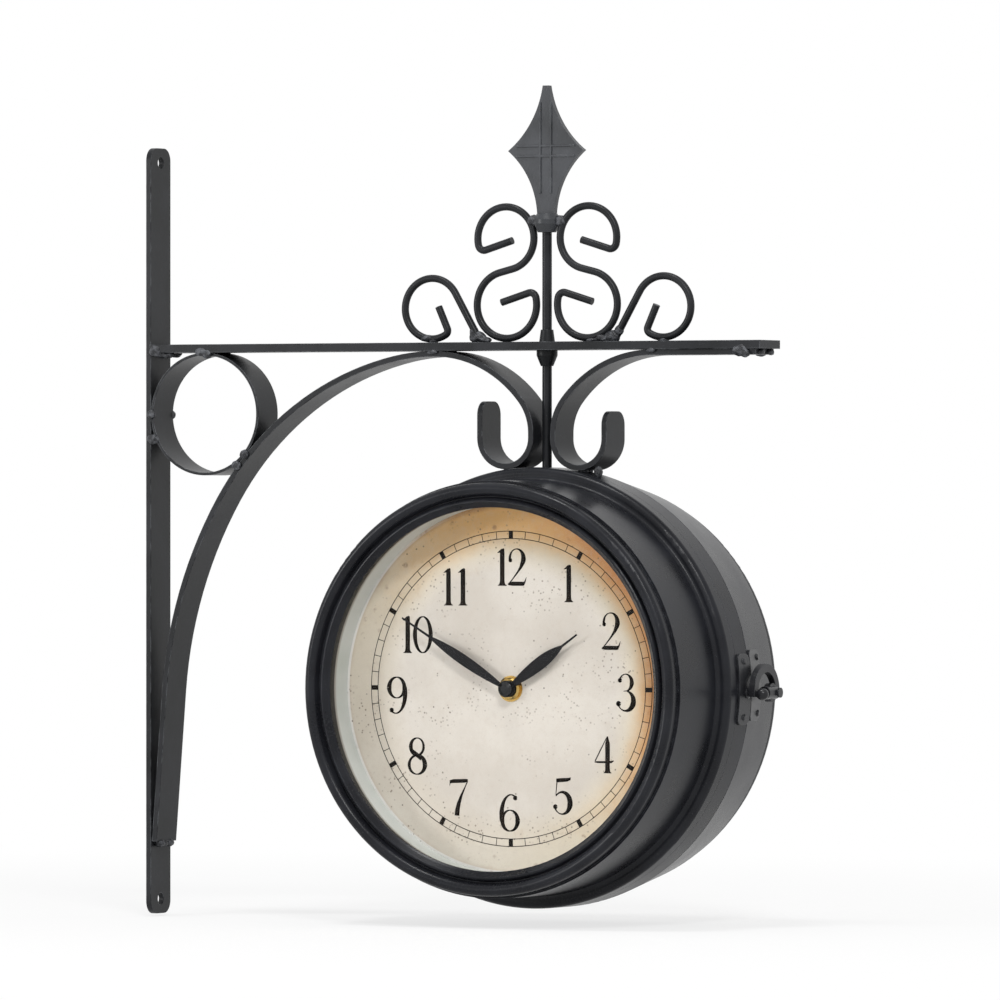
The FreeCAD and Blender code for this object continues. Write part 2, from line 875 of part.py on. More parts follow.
def frontShell():
    """A drawn pan: a cylinder that steps out to the rim beside the band."""
    edge, wall, bend = "-shellEdge", "shellWall", "stepBend"
    foot = "-(frontDepth - bandWidth - lipGap)"
    top = "-stepDepth"
    outerBend = "(stepBend + shellWall)"
    outer = turned("FrontShell", [
        ("%s - %s" % (rimRadius, wall), edge),
        ("%s - %s" % (rimRadius, wall), "%s - %s" % (top, wall)),
        ("%s - %s + %s" % (rimRadius, wall, outerBend), "%s - %s - %s" % (top, wall, outerBend), outerBend, 1),
        ("%s - %s - %s" % (bandRadius, wall, bend), "%s - %s - %s" % (top, wall, outerBend)),
        ("%s - %s" % (bandRadius, wall), "%s - %s - %s - %s" % (top, wall, outerBend, bend), bend, -1),
        ("%s - %s" % (bandRadius, wall), foot),
        (bandRadius, foot),
        (bandRadius, "%s - %s - %s - %s" % (top, wall, outerBend, bend)),
        ("%s - %s - %s" % (bandRadius, wall, bend), "%s - %s - %s" % (top, bend, wall), outerBend, 1),
        ("%s + %s" % (rimRadius, bend), "%s - %s - %s" % (top, bend, wall)),
        (rimRadius, "%s - %s" % (top, wall), bend, -1),
        (rimRadius, edge),
    ])
    onFront(outer)
    finish(outer, "front_shell")


def centreBand():
    """The carrier ring: the rod, the hinge and the keeper are fixed to it. A lip each side enters
    the front shell and the rear cover."""
    front, rear = "bandWidth", "seamGap / 2"
    band = turned("CentreBand", [
        (bandInner, "%s + bandLip" % front), (bandInner, "-bandLip"),
        (lipTip, "-bandLip"), (lipRadius, rear), (bandRadius, rear),
        (bandRadius, front), (lipRadius, front), (lipRadius, "%s + bandLip" % front),
    ])
    hole = newSketch(band, "BandRodHole", "XZ_Plane")
    circle(hole, "rodSize / 2 + fitGap", y="seamPlace")
    pocket(band, hole, "bandSize")
    place(band, frontTurn, "rodReach", "seamPlace", "-caseDrop")
    finish(band, "centre_band")


def coneRadius(depth):
    """The rear cover's outer radius at a depth behind the rear bezel's widest plane."""
    return "(%s + (%s - shellEdge) * %s)" % (rimRadius, depth, coneSlope)


def rearShell():
    edge, foot = "-shellEdge", "-(rearDepth - seamGap / 2)"
    shell = turned("RearShell", [
        (rimRadius + " - shellWall", edge), (bandRadius + " - shellWall", foot), (bandRadius, foot),
        (rimRadius, edge),
    ])
    onRear(shell)
    finish(shell, "rear_shell")


# ---------------------------------------------------------------- the two clock faces


def bezel(name):
    """A spun ring: skirt, outer roll, groove and inner bead down to the glass opening."""
    wide, groove, lip = rimRadius + " - bezelStep", openingRadius + " + grooveReach", openingRadius
    wall, roll, bead = "bezelWall", "bezelRoll", "bezelBead"
    skirt = rimRadius + " - shellWall - fitGap"
    low = "bezelGrooveDepth"
    return turned(name, [
        (skirt + " - " + wall, "-bezelSkirt"), (skirt, "-bezelSkirt"), (skirt, "-shellEdge"),
        (wide + " - bezelUndercut", "-shellEdge"), (wide + " - bezelUndercut", "-bezelUndercut"),
        (wide, "0"), (wide, "bezelNose - %s" % roll),
        ("%s - %s" % (wide, roll), "bezelNose", roll, 1),
        ("%s - 2 * %s" % (wide, roll), "bezelNose - %s" % roll, roll, 1),
        (groove, low), ("%s - %s / 2" % (groove, wall), low),
        ("%s - %s" % (groove, wall), "bezelBeadHeight - %s" % bead),
        ("%s - %s - %s" % (groove, wall, bead), "bezelBeadHeight", bead, 1),
        (lip + " + " + wall, "2 * " + wall), (lip, wall), (lip, "0"),
        ("%s - %s - %s" % (groove, wall, bead), "0"),
        ("%s - %s" % (groove, wall), "0"), ("%s - %s / 2" % (wide, wall) + " - 2 * bezelUndercut", "0"),
        (skirt + " - " + wall, "-shellEdge"),
    ])


def face(side, mount, plateRadius):
    """Everything behind one bezel, each piece drawn outwards from the bezel's widest plane."""
    title = side.title()

    def add(piece, label):
        mount(piece)
        return finish(piece, "%s_%s" % (side, label))

    add(bezel(title + "Bezel"), "bezel")
    glassFront = "-(glassBack - glassThick)"
    gasketOuter = glassRadius + " + gasketWall"
    add(turned(title + "Gasket", [
        (openingRadius + " + fitGap", "0"), (gasketOuter, "0"), (gasketOuter, "-glassBack - gasketWall"),
        (spacerRadius, "-glassBack - gasketWall"), (spacerRadius, "-glassBack"),
        (glassRadius, "-glassBack"), (glassRadius, glassFront),
        (openingRadius + " + fitGap", glassFront),
    ]), "gasket")
    add(washer(title + "Glass", glassRadius, "0", "-glassBack", glassFront), "glass")
    spacerTop = "-glassBack - gasketWall"
    spacerFoot = spacerRadius + " + spacerWall + spacerFlange / 2"
    add(turned(title + "Spacer", [
        (spacerRadius, "-dialDepth"), (spacerFoot, "-dialDepth"),
        (spacerFoot, "-dialDepth + spacerWall"),
        (spacerRadius + " + spacerWall", "-dialDepth + spacerWall"),
        (spacerRadius + " + spacerWall", spacerTop + " - spacerWall"),
        (spacerRadius + " + spacerFlange", spacerTop + " - spacerWall"),
        (spacerRadius + " + spacerFlange", spacerTop), (spacerRadius, spacerTop),
    ]), "spacer_ring")
    dialBack = "(dialDepth + dialThick)"
    dialRadius = openingRadius + " + dialLap"
    add(washer(title + "Dial", dialRadius, "dialHole / 2", "-" + dialBack, "-dialDepth"), "dial")
    plateBack = "(dialDepth + dialThick + plateThick)"
    add(turned(title + "Plate", [
        ("dialHole / 2", "-" + plateBack), (plateRadius, "-" + plateBack),
        (plateRadius, "-%s + plateFlange" % plateBack),
        (plateRadius + " - plateThick", "-%s + plateFlange" % plateBack),
        (plateRadius + " - plateThick", "-" + dialBack), ("dialHole / 2", "-" + dialBack),
    ]), "dial_plate")
    movement(title, add, plateBack)
    hands(title, add, plateBack)


def movement(title, add, plateBack):
    """A quartz movement: a box with a threaded bush through the dial and a bay for its cell."""
    body = newBody(title + "Movement")
    box = newSketch(body, title + "MovementOutline")
    outline(box, roundedRectangle("movementSize / 2", "movementSize / 2", "movementCorner"))
    pad(body, box, "movementThick", reversed=True)
    bush = newSketch(body, title + "Bush")
    circle(bush, "bushSize / 2")
    pad(body, bush, "bushReach")
    bore = newSketch(body, title + "SpindleBore")
    circle(bore, "spindleBore / 2")
    pocket(body, bore, "movementThick")
    wide = newSketch(body, title + "TubeBore")
    circle(wide, "bushBore / 2")
    pocket(body, wide, "bushReach + tubeDepth", reversed=True)
    deeper = newSketch(body, title + "TubeWell")
    circle(deeper, "bushBore / 2")
    pocket(body, deeper, "tubeDepth + fitGap")
    bay = newSketch(body, title + "BatteryBay")
    halfBay = "batteryLength / 2 + batterySlack"
    reach = "(batterySize / 2 + batterySlack)"
    outline(bay, rectangle("-(%s)" % halfBay, "-batteryOffset - %s" % reach,
                           halfBay, "-batteryOffset + %s" % reach))
    pocket(body, bay, "batterySize + batterySlack")
    placed = "-" + plateBack
    add(body, "movement")
    seat(body, placed)
    cell = newBody(title + "Battery")
    section = newSketch(cell, title + "BatterySection", "YZ_Plane")
    circle(section, "batterySize / 2", x="-batteryOffset", y="-batterySize / 2")
    pad(cell, section, "batteryLength", midplane=True)
    tip = newSketch(cell, title + "BatteryTip", "YZ_Plane")
    circle(tip, "batterySize / 5", x="-batteryOffset", y="-batterySize / 2")
    pad(cell, tip, "batteryLength + 1.6 * batterySlack", midplane=True)
    add(cell, "battery")
    seat(cell, "%s - batterySlack / 2" % placed)


def seat(piece, height):
    """Slide a piece along its own axis to the given height in front of the bezel plane."""
    outward = piece.Placement.Rotation.multVec(Vector(0, 0, 1))
    base = frontPlane if outward.y < 0 else rearPlane
    sign = "-" if outward.y < 0 else "+"
    formula = "%s %s (%s)" % (base, sign, height)
    piece.Placement.Base = Vector(value("rodReach"), value(formula), -caseDrop)
    bind(piece, "Placement.Base.y", formula)


def hands(title, add, plateBack):
    front = "-dialDepth"
    disc = washer(title + "BushWasher", "washerSize / 2", "bushSize / 2 + fitGap", "0", "washerThick")
    add(disc, "bush_washer")
    seat(disc, front)
    nut = turned(title + "BushNut", [
        ("bushSize / 2 + fitGap / 2", "0"), ("nutSize / 2", "0"), ("nutSize / 2", "nutThick * 0.6"),
        ("nutSize / 2 - nutThick * 0.4", "nutThick"), ("bushSize / 2 + fitGap / 2", "nutThick"),
    ])
    add(nut, "bush_nut")
    seat(nut, front + " + washerThick")
    tubeLength = "hourHeight + tubeDepth + dialThick + plateThick - fitGap"
    hour = hand(title, "hour", "spindleBore / 2", tubeLength)
    add(hour, "hour_hand")
    turnHand(hour, "hourAngle")
    seat(hour, front + " + hourHeight")
    height = front + " + hourHeight + handSpacing"
    minute = hand(title, "minute", "spindleSize / 2 + runningGap")
    add(minute, "minute_hand")
    turnHand(minute, "minuteAngle")
    seat(minute, height)
    spindleTop = height + " + 3 * handThick"
    knobFoot = "(%s + movementThick + knobGap + knobThick)" % plateBack
    arbor = turned(title + "SettingKnob", [
        ("0", "-" + knobFoot), ("knobWheel / 2", "-" + knobFoot),
        ("knobWheel / 2", "-%s + knobThick" % knobFoot),
        ("spindleSize / 2", "-%s + knobThick" % knobFoot),
        ("spindleSize / 2", spindleTop), ("0", spindleTop),
    ])
    add(arbor, "setting_knob")
    cap = turned(title + "Cap", [
        ("spindleSize / 2 + runningGap", "0"), ("capSize / 2", "0"), ("capSize / 2", "capHeight * 0.4"),
        ("capSize / 4", "capHeight"), ("0", "capHeight"), ("0", "2.2 * handThick"),
        ("spindleSize / 2 + runningGap", "2.2 * handThick"),
    ])
    add(cap, "hand_cap")
    seat(cap, height + " + handThick")


def leafCurve(wide, narrow, length):
    """The radius of an arc that leaves the widest place square and narrows over a length."""
    return "((%s) ^ 2 + ((%s - %s) / 2) ^ 2) / (%s - %s)" % (length, wide, narrow, wide, narrow)


def hand(title, kind, bore, tubeLength=None):
    """A leaf shaped hand pointing at twelve, with its tube behind it where it has one."""
    name = title + kind.title() + "Hand"
    body = newBody(name)
    blade = newSketch(body, name + "Blade")
    root = "handHub * 0.9"
    bulge, place, neck = kind + "Bulge", kind + "BulgePlace", kind + "NeckPlace"
    lower = leafCurve(bulge, "handRoot", "%s - %s" % (place, root))
    upper = leafCurve(bulge, "handNeck", "%s - %s" % (neck, place))
    outline(blade, [
        ("handRoot / 2", root),
        (bulge + " / 2", place, lower, 1),
        ("handNeck / 2", neck, upper, 1),
        ("handTip / 2", kind + "Length"),
        ("-handTip / 2", kind + "Length"),
        ("-handNeck / 2", neck),
        ("-%s / 2" % bulge, place, upper, 1),
        ("-handRoot / 2", root, lower, 1),
    ])
    pad(body, blade, "handThick")
    hub = newSketch(body, name + "Hub")
    circle(hub, "handHub")
    pad(body, hub, "handThick")
    if tubeLength:
        pipe = newSketch(body, name + "Tube")
        circle(pipe, "tubeSize / 2")
        pad(body, pipe, tubeLength, reversed=True)
    hole = newSketch(body, name + "Bore")
    circle(hole, bore)
    pocket(body, hole, "handThick", reversed=True)
    if tubeLength:
        through = newSketch(body, name + "TubeBore")
        circle(through, bore)
        pocket(body, through, tubeLength)
    return body


def turnHand(piece, angle):
    """Turn a hand clockwise from twelve, as its own dial is read."""
    piece.Placement.Rotation = piece.Placement.Rotation.multiply(Rotation(Vector(0, 0, 1), -value(angle)))


# ---------------------------------------------------------------- hinge

hingeX = "rodReach - bandSize / 2 - hingeReach"


def wrapped(name, section, blank, left):
    """A plate bent round the case: its flat outline, pressed to the turned section."""
    sleeve = turned(name + "Sleeve", section)
    place(sleeve, frontTurn, "rodReach", "seamPlace", "-caseDrop")
    prism = newBody(name + "Blank")
    sketch = newSketch(prism, name + "BlankOutline", "YZ_Plane")
    outline(sketch, blank)
    pad(prism, sketch, "bandSize", reversed=left)
    place(prism, x="rodReach", z="-caseDrop")
    plate = doc.addObject("Part::Common", name)
    plate.Base = sleeve
    plate.Tool = prism
    doc.recompute()
    return plate


def knuckles(name, flat, levels):
    """Join the hinge knuckles to a flat leaf and clear it for the pin."""
    tubes = []
    for index, (low, high) in enumerate(levels):
        tube = washer("%sKnuckle%d" % (name, index), "knuckleSize / 2",
                      "hingePin / 2 + runningGap", low, high)
        place(tube, x=hingeX, y="seamPlace", z="-caseDrop")
        tubes.append(tube)
    joined = doc.addObject("Part::MultiFuse", name + "Joined")
    core = doc.addObject("Part::Cylinder", name + "Core")
    bind(core, "Radius", "hingePin / 2 + runningGap")
    bind(core, "Height", "hingeHeight")
    place(core, x=hingeX, y="seamPlace", z="-caseDrop - hingeHeight / 2")
    trimmed = doc.addObject("Part::Cut", name + "Trimmed")
    trimmed.Base = flat
    trimmed.Tool = core
    joined.Shapes = [trimmed] + tubes
    doc.recompute()
    return joined


def hinge():
    third = "hingeHeight / 6"
    low, high = "-hingeHeight / 2", "hingeHeight / 2"
    inner = "bandSize / 2 + leafGap"
    outer = inner + " + leafThick"
    clear = "(knuckleSize / 2 + knuckleGap)"
    fixed = leaf("HingeLeafFixed", rectangle(inner, "seamGap / 2", outer, "leafWidth"), [
        rectangle("seamPlace - leafWidth", low, "seamPlace - " + clear, high),
        rectangle("seamPlace - " + clear, low, "seamPlace", "-%s - knuckleGap" % third),
        rectangle("seamPlace - " + clear, third + " + knuckleGap", "seamPlace", high),
    ])
    levels = [(low, "-%s - knuckleGap" % third), (third + " + knuckleGap", high)]
    finish(knuckles("HingeFixed", fixed, levels), "hinge_leaf_fixed")
    drop = "(leafWidth - seamGap / 2) * " + coneSlope
    moving = leaf("HingeLeafMoving", [
        (inner, "-seamGap / 2"), (inner + " - " + drop, "-leafWidth"),
        (outer + " - " + drop, "-leafWidth"), (outer, "-seamGap / 2"),
    ], [
        rectangle("seamPlace + " + clear, low, "seamPlace + leafWidth", high),
        rectangle("seamPlace", "-" + third, "seamPlace + " + clear, third),
    ])
    finish(knuckles("HingeMoving", moving, [("-" + third, third)]), "hinge_leaf_moving")
    top, foot = high + " + runningGap", low + " - runningGap"
    pinBody = turned("HingePin", [
        ("0", foot + " - pinHeadThick"), ("pinHead / 2", foot + " - pinHeadThick"), ("pinHead / 2", foot),
        ("hingePin / 2", foot), ("hingePin / 2", top), ("pinHead / 2", top),
        ("pinHead / 2", top + " + pinHeadThick"), ("0", top + " + pinHeadThick"),
    ])
    place(pinBody, x=hingeX, y="seamPlace", z="-caseDrop")
    finish(pinBody, "hinge_pin")


def leaf(name, section, blanks):
    """One hinge leaf with its tongues towards the knuckles."""
    pieces = [wrapped("%s%d" % (name, index), section, blank, True) for index, blank in enumerate(blanks)]
    fused = doc.addObject("Part::MultiFuse", name)
    fused.Shapes = pieces
    doc.recompute()
    return fused


# ---------------------------------------------------------------- latch

latchFace = "(bandSize / 2 + leafGap + latchPlateThick)"
hingeFace = "(bandSize / 2 + leafGap + leafThick)"
latchX = "rodReach + " + latchFace
keeperY = "(seamPlace - seamGap / 2 - keeperWidth / 2 - leafGap)"
latchY = "(seamPlace + seamGap / 2 + latchPlateWidth / 2 + leafGap)"


def roundPlate(low, high, y, width):
    return roundedRectangle(width + " / 2", "(%s - (%s)) / 2" % (high, low), "plateCorner", y,
                            "(%s + %s) / 2" % (high, low))


def stud(name, profile, x, y, z):
    """A round headed piece that stands out from the case along X."""
    piece = turned(name, profile)
    place(piece, Rotation(Vector(0, 1, 0), 90), x, y, z)
    return piece


def rivet(name, radius, y, height, side=1, slope="0"):
    """A domed rivet head square to the case, at a height above or below the case's axis."""
    edge, crown = "rivetSize / 2", "rivetSize / 3"
    piece = turned(name, [("0", "0"), (edge, "0"), (crown, "rivetHigh"), ("0", "rivetHigh")])
    lean = math.degrees(math.asin(value(height) / value(radius)))
    turn = Rotation(Vector(0, 1, 0), 90 * side - lean * side)
    turn = turn.multiply(Rotation(Vector(1, 0, 0), -math.degrees(math.atan(value(slope)))))
    across = "sqrt((%s) ^ 2 - (%s) ^ 2)" % (radius, height)
    place(piece, turn, "rodReach %s %s" % ("+" if side > 0 else "-", across), y, "%s - caseDrop" % height)
    return piece


def group(name, label, pieces):
    compound = doc.addObject("Part::Compound", name)
    compound.Links = pieces
    doc.recompute()
    finish(compound, label)


def latch():
    inner = "bandSize / 2 + leafGap"
    outer = inner + " + latchPlateThick"
    low, high = "(-keeperHeight / 2)", "(keeperHeight / 2)"
    section = rectangle(inner, "seamGap / 2", outer, "keeperWidth + 2 * seamGap")
    keeper = wrapped("KeeperPlate", section,
                     roundPlate(low, high, keeperY, "keeperWidth"), False)
    finish(keeper, "keeper_plate")
    reach = "(latchPlateWidth + 2 * seamGap)"
    fall = " - (%s - seamGap / 2) * %s" % (reach, coneSlope)
    section = [
        (inner, "-seamGap / 2"), (inner + fall, "-" + reach),
        (outer + fall, "-" + reach), (outer, "-seamGap / 2"),
    ]
    raised = roundPlate(low + " + latchRaise", high + " + latchRaise", latchY, "latchPlateWidth")
    finish(wrapped("LatchPlate", section, raised, False), "latch_plate")

    hookPlane = "%s + keeperHigh + hookGap" % latchX
    hookZ = "-caseDrop - hookDrop"
    clawY = "seamPlace + hookCentre - (hookOuter + hookInner) / 2"
    keeperStud = stud("KeeperStud", [
        ("0", "0"), ("keeperHead / 2", "0"), ("keeperHead / 2", "keeperHigh / 3"),
        ("keeperHead / 4", "keeperHigh"), ("0", "keeperHigh"),
    ], latchX, clawY, hookZ)
    finish(keeperStud, "keeper_stud")
    latchHook(hookPlane, hookZ)
    ball = stud("LatchBall", [
        ("0", "0"), ("ballNeck / 2", "0"), ("ballNeck / 2", "ballStand"),
        ("ballSize / 2", "ballStand + ballSize / 2", "ballSize / 2", 1),
        ("0", "ballStand + ballSize", "ballSize / 2", 1),
    ], hookPlane + " + hookThick", clawY, hookZ + " - ballDrop")
    finish(ball, "latch_ball")
    foot = "rodReach + %s - (pivotPlace + pivotSize / 2) * %s" % (outer, coneSlope)
    shank = "(%s + thumbSize + runningGap - (%s))" % (hookPlane, foot)
    pivot = stud("HookPivot", [
        ("0", "0"), ("pivotSize / 2", "0"), ("pivotSize / 2", shank), ("pivotHead / 2", shank),
        ("pivotHead / 2", shank + " + pivotHeadHigh"), ("0", shank + " + pivotHeadHigh"),
    ], foot, "seamPlace + pivotPlace", hookZ)
    seated = doc.addObject("Part::Cut", "HookPivotSeated")
    seated.Base = pivot
    seated.Tool = next(piece for piece in parts if piece.Label == "latch_plate")
    doc.recompute()
    finish(seated, "hook_pivot")


def latchHook(hookPlane, hookZ):
    """A bent claw over the keeper, with its hub on the pivot and a round thumb piece."""
    body = newBody("LatchHook")
    arch = newSketch(body, "HookArch", "YZ_Plane")
    outline(arch, [
        ("-hookOuter", "-hookDrop"), ("-hookInner", "-hookDrop"), ("-hookInner", "0"),
        ("0", "hookInner", "hookInner", -1), ("hookInner", "0", "hookInner", -1),
        ("hookOuter", "0"), ("0", "hookOuter", "hookOuter", 1), ("-hookOuter", "0", "hookOuter", 1),
    ])
    pad(body, arch, "hookThick")
    hub = newSketch(body, "HookHub", "YZ_Plane")
    circle(hub, "hubSize / 2", x="pivotPlace - hookCentre", y="0")
    pad(body, hub, "hookThick")
    barrel = newSketch(body, "HookBarrel", "XZ_Plane")
    circle(barrel, "thumbSize / 2", x="thumbSize / 2", y="0")
    lengthwise = pad(body, barrel, "thumbLength - thumbStart", reversed=True)
    lengthwise.SideType = "Two sides"
    lengthwise.Length2 = value("thumbStart")
    bind(lengthwise, "Length2", "thumbStart")
    doc.recompute()
    bore = newSketch(body, "HookBore", "YZ_Plane")
    circle(bore, "pivotSize / 2 + runningGap", x="pivotPlace - hookCentre", y="0")
    pocket(body, bore, "2 * thumbSize", reversed=True)
    place(body, x=hookPlane, y="seamPlace + hookCentre", z=hookZ)
    finish(body, "latch_hook")


def rivets():
    """The rivets that hold the two latch plates and the two hinge leaves."""
    step = "(keeperHeight / 2 - rivetInset)"
    pieces = []
    for index, side in enumerate(("-", "")):
        pieces.append(rivet("KeeperRivet%d" % index, latchFace, keeperY, side + step))
        pieces.append(rivet("FixedLeafRivet%d" % index, hingeFace, "seamPlace - leafWidth + rivetInset * 0.8",
                            side + "hingeHeight / 3", -1))
    group("BandRivets", "band_rivets", pieces)
    pieces = []
    for index, side in enumerate(("-", "")):
        away = "(latchPlateWidth - rivetInset + seamGap)"
        radius = "(%s - (%s - seamGap / 2) * %s)" % (latchFace, away, coneSlope)
        height = "(latchRaise + %s%s)" % (side, step)
        pieces.append(rivet("LatchRivet%d" % index, radius, "seamPlace + " + away, height, 1, coneSlope))
        away = "(leafWidth - rivetInset * 0.8)"
        radius = "(%s - (%s - seamGap / 2) * %s)" % (hingeFace, away, coneSlope)
        height = side + "hingeHeight / 3"
        pieces.append(rivet("MovingLeafRivet%d" % index, radius, "seamPlace + " + away, height, -1, coneSlope))
    group("CoverRivets", "cover_rivets", pieces)


# ---------------------------------------------------------------- build and export


def build():
    wallBar()
    armBar()
    brace, middle, longBend = straps()
    ring, radius = ringBand(middle, longBend)
    hangerRod()
    collars()
    rodFasteners()
    scrollRods()
    finial()
    finialKnob()
    frontShell()
    centreBand()
    rearShell()
    plateRadius = rimRadius + " - shellWall - fitGap"
    face("front", onFront, plateRadius)
    flangeEdge = "(dialDepth + dialThick + plateThick - plateFlange)"
    face("rear", onRear, coneRadius(flangeEdge) + " - shellWall - lipGap")
    hinge()
    latch()
    rivets()
    doc.recompute()
    weldBeads(welds(ring, radius, middle, brace))


def check():
    for item in doc.Objects:
        if "Invalid" in item.State or "Error" in item.State:
            raise RuntimeError(item.Name + " failed")
    for piece in parts:
        if piece.Shape.isNull() or not piece.Shape.isValid():
            raise RuntimeError(piece.Label + " has no valid shape")


build()
doc.recompute()
check()
os.makedirs("parts", exist_ok=True)
for piece in parts:
    piece.Shape.exportStep("parts/%s.step" % piece.Label)
    box = piece.Shape.BoundBox
    print("%-22s %d solid(s) %9.1f mm3  X %.1f..%.1f  Y %.1f..%.1f  Z %.1f..%.1f" % (
        piece.Label, len(piece.Shape.Solids), piece.Shape.Volume,
        box.XMin, box.XMax, box.YMin, box.YMax, box.ZMin, box.ZMax))
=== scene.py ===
import json
import math

import bpy
from mathutils import Matrix, Vector


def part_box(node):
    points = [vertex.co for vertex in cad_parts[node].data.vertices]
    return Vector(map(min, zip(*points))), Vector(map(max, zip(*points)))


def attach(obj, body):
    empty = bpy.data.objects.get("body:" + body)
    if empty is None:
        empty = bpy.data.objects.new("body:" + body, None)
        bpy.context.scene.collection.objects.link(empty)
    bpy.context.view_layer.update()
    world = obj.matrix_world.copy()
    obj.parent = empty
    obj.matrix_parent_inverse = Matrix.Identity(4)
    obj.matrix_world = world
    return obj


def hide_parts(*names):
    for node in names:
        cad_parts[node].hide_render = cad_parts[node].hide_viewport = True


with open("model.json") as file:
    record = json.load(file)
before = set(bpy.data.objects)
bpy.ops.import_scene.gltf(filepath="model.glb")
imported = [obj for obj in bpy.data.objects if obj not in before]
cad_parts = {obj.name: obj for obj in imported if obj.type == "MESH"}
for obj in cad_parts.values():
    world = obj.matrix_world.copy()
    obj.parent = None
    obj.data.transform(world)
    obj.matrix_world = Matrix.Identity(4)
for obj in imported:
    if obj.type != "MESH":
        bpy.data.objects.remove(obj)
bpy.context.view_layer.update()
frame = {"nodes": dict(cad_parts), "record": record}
nodes = frame["nodes"]
print("frame loaded:", len(nodes), "nodes")


# the parts' shared places, in metres
layout = {
    "centreX": 0.241,
    "centreZ": -0.084,
    "frontDialY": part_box("front_dial")[0].y,
    "rearDialY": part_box("rear_dial")[1].y,
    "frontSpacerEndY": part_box("front_spacer_ring")[0].y,
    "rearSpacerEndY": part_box("rear_spacer_ring")[1].y,
}


# shader maths written as expressions

class Value:
    def __init__(self, maker, socket):
        self.maker = maker
        self.socket = socket

    def math(self, operation, *terms):
        return self.maker.node("ShaderNodeMath", {"operation": operation}, terms)

    def __add__(self, other):
        return self.math("ADD", self, other)

    def __sub__(self, other):
        return self.math("SUBTRACT", self, other)

    def __mul__(self, other):
        return self.math("MULTIPLY", self, other)

    def __truediv__(self, other):
        return self.math("DIVIDE", self, other)

    def __pow__(self, other):
        return self.math("POWER", self, other)

    def __radd__(self, other):
        return self.math("ADD", other, self)

    def __rsub__(self, other):
        return self.math("SUBTRACT", other, self)

    def above(self, low, high):  # 0 below low, 1 over high, smooth between
        limits = {"Value": self, "From Min": low, "From Max": high}
        return self.maker.node("ShaderNodeMapRange", {"interpolation_type": "SMOOTHSTEP"}, limits)


class Graph:
    def __init__(self, tree):
        self.tree = tree

    def node(self, kind, settings, inputs, output=0):
        node = self.tree.nodes.new(kind)
        for key, setting in settings.items():
            setattr(node, key, setting)
        pairs = inputs.items() if isinstance(inputs, dict) else enumerate(inputs)
        for key, given in pairs:
            if isinstance(given, Value):
                self.tree.links.new(given.socket, node.inputs[key])
            else:
                node.inputs[key].default_value = given
        return Value(self, node.outputs[output])

    def pictured(self):  # 1 for a ray that ends up in the picture: straight, mirrored or through glass
        kinds = ("Is Camera Ray", "Is Glossy Ray", "Is Transmission Ray")
        straight, mirrored, through = [self.node("ShaderNodeLightPath", {}, {}, kind) for kind in kinds]
        return straight.math("MAXIMUM", straight, mirrored.math("MAXIMUM", mirrored, through))


class Finish(Graph):
    sockets = {
        "colour": "Base Color",
        "rough": "Roughness",
        "metal": "Metallic",
        "alpha": "Alpha",
        "ior": "IOR",
        "specular": "Specular IOR Level",
        "normal": "Normal",
    }

    def __init__(self, name):
        self.material = bpy.data.materials.new(name)
        self.material.use_nodes = True
        super().__init__(self.material.node_tree)
        self.shader = self.tree.nodes["Principled BSDF"]
        self.place = self.node("ShaderNodeTexCoord", {}, {}, "Object")

    def noise(self, scale, detail, place=None, roughness=0.5):
        return self.node("ShaderNodeTexNoise", {}, {
            "Vector": place or self.place, "Scale": scale, "Detail": detail, "Roughness": roughness})

    def cells(self, scale):
        return self.node("ShaderNodeTexVoronoi", {}, {"Vector": self.place, "Scale": scale}, "Distance")

    def edges(self, size):  # 1 on an outer edge, 0 on a flat face
        rounded = self.node("ShaderNodeBevel", {"samples": 6}, {"Radius": size})
        flat = self.node("ShaderNodeNewGeometry", {}, {}, "Normal")
        turned = self.node("ShaderNodeVectorMath", {"operation": "DOT_PRODUCT"}, [rounded, flat], "Value")
        return 1 - turned.above(0.80, 0.98)

    def mix(self, factor, first, second):
        first = first if isinstance(first, Value) else (*first, 1)
        second = second if isinstance(second, Value) else (*second, 1)
        return self.node("ShaderNodeMix", {"data_type": "RGBA"}, {0: factor, 6: first, 7: second}, 2)

    def set(self, **given):
        for name, worth in given.items():
            socket = self.shader.inputs[self.sockets[name]]
            if isinstance(worth, Value):
                self.tree.links.new(worth.socket, socket)
            else:
                socket.default_value = (*worth, 1) if isinstance(worth, tuple) else worth

    def bump(self, height, distance, edge=None):
        inputs = {"Height": height, "Distance": distance, "Strength": 1}
        if edge:
            inputs["Normal"] = self.node("ShaderNodeBevel", {"samples": 6}, {"Radius": edge})
        self.set(normal=self.node("ShaderNodeBump", {}, inputs))


# powder coat on the bracket, the case, the latch and the cast finial

# each coat's lighter edge colour is partly wear and partly a painted highlight along the edges
coatLooks = {
    "bracketCoat": {
        "dark": (0.009, 0.010, 0.011), "light": (0.020, 0.021, 0.024), "wornAndHighlight": (0.17, 0.178, 0.19),
        "rough": 0.36, "gloss": 0.17, "edge": 0.0006,
    },
    "caseCoat": {
        "dark": (0.010, 0.0105, 0.013), "light": (0.017, 0.018, 0.022), "wornAndHighlight": (0.075, 0.080, 0.092),
        "rough": 0.29, "gloss": 0.15, "edge": 0.0004,
    },
    "latchCoat": {
        "dark": (0.009, 0.009, 0.011), "light": (0.020, 0.021, 0.024), "wornAndHighlight": (0.12, 0.125, 0.135),
        "rough": 0.30, "gloss": 0.26, "edge": 0.0004,
    },
    "castCoat": {
        "dark": (0.022, 0.024, 0.027), "light": (0.052, 0.055, 0.062), "wornAndHighlight": (0.13, 0.138, 0.15),
        "rough": 0.36, "gloss": 0.34, "edge": 0.0004,
    },
}
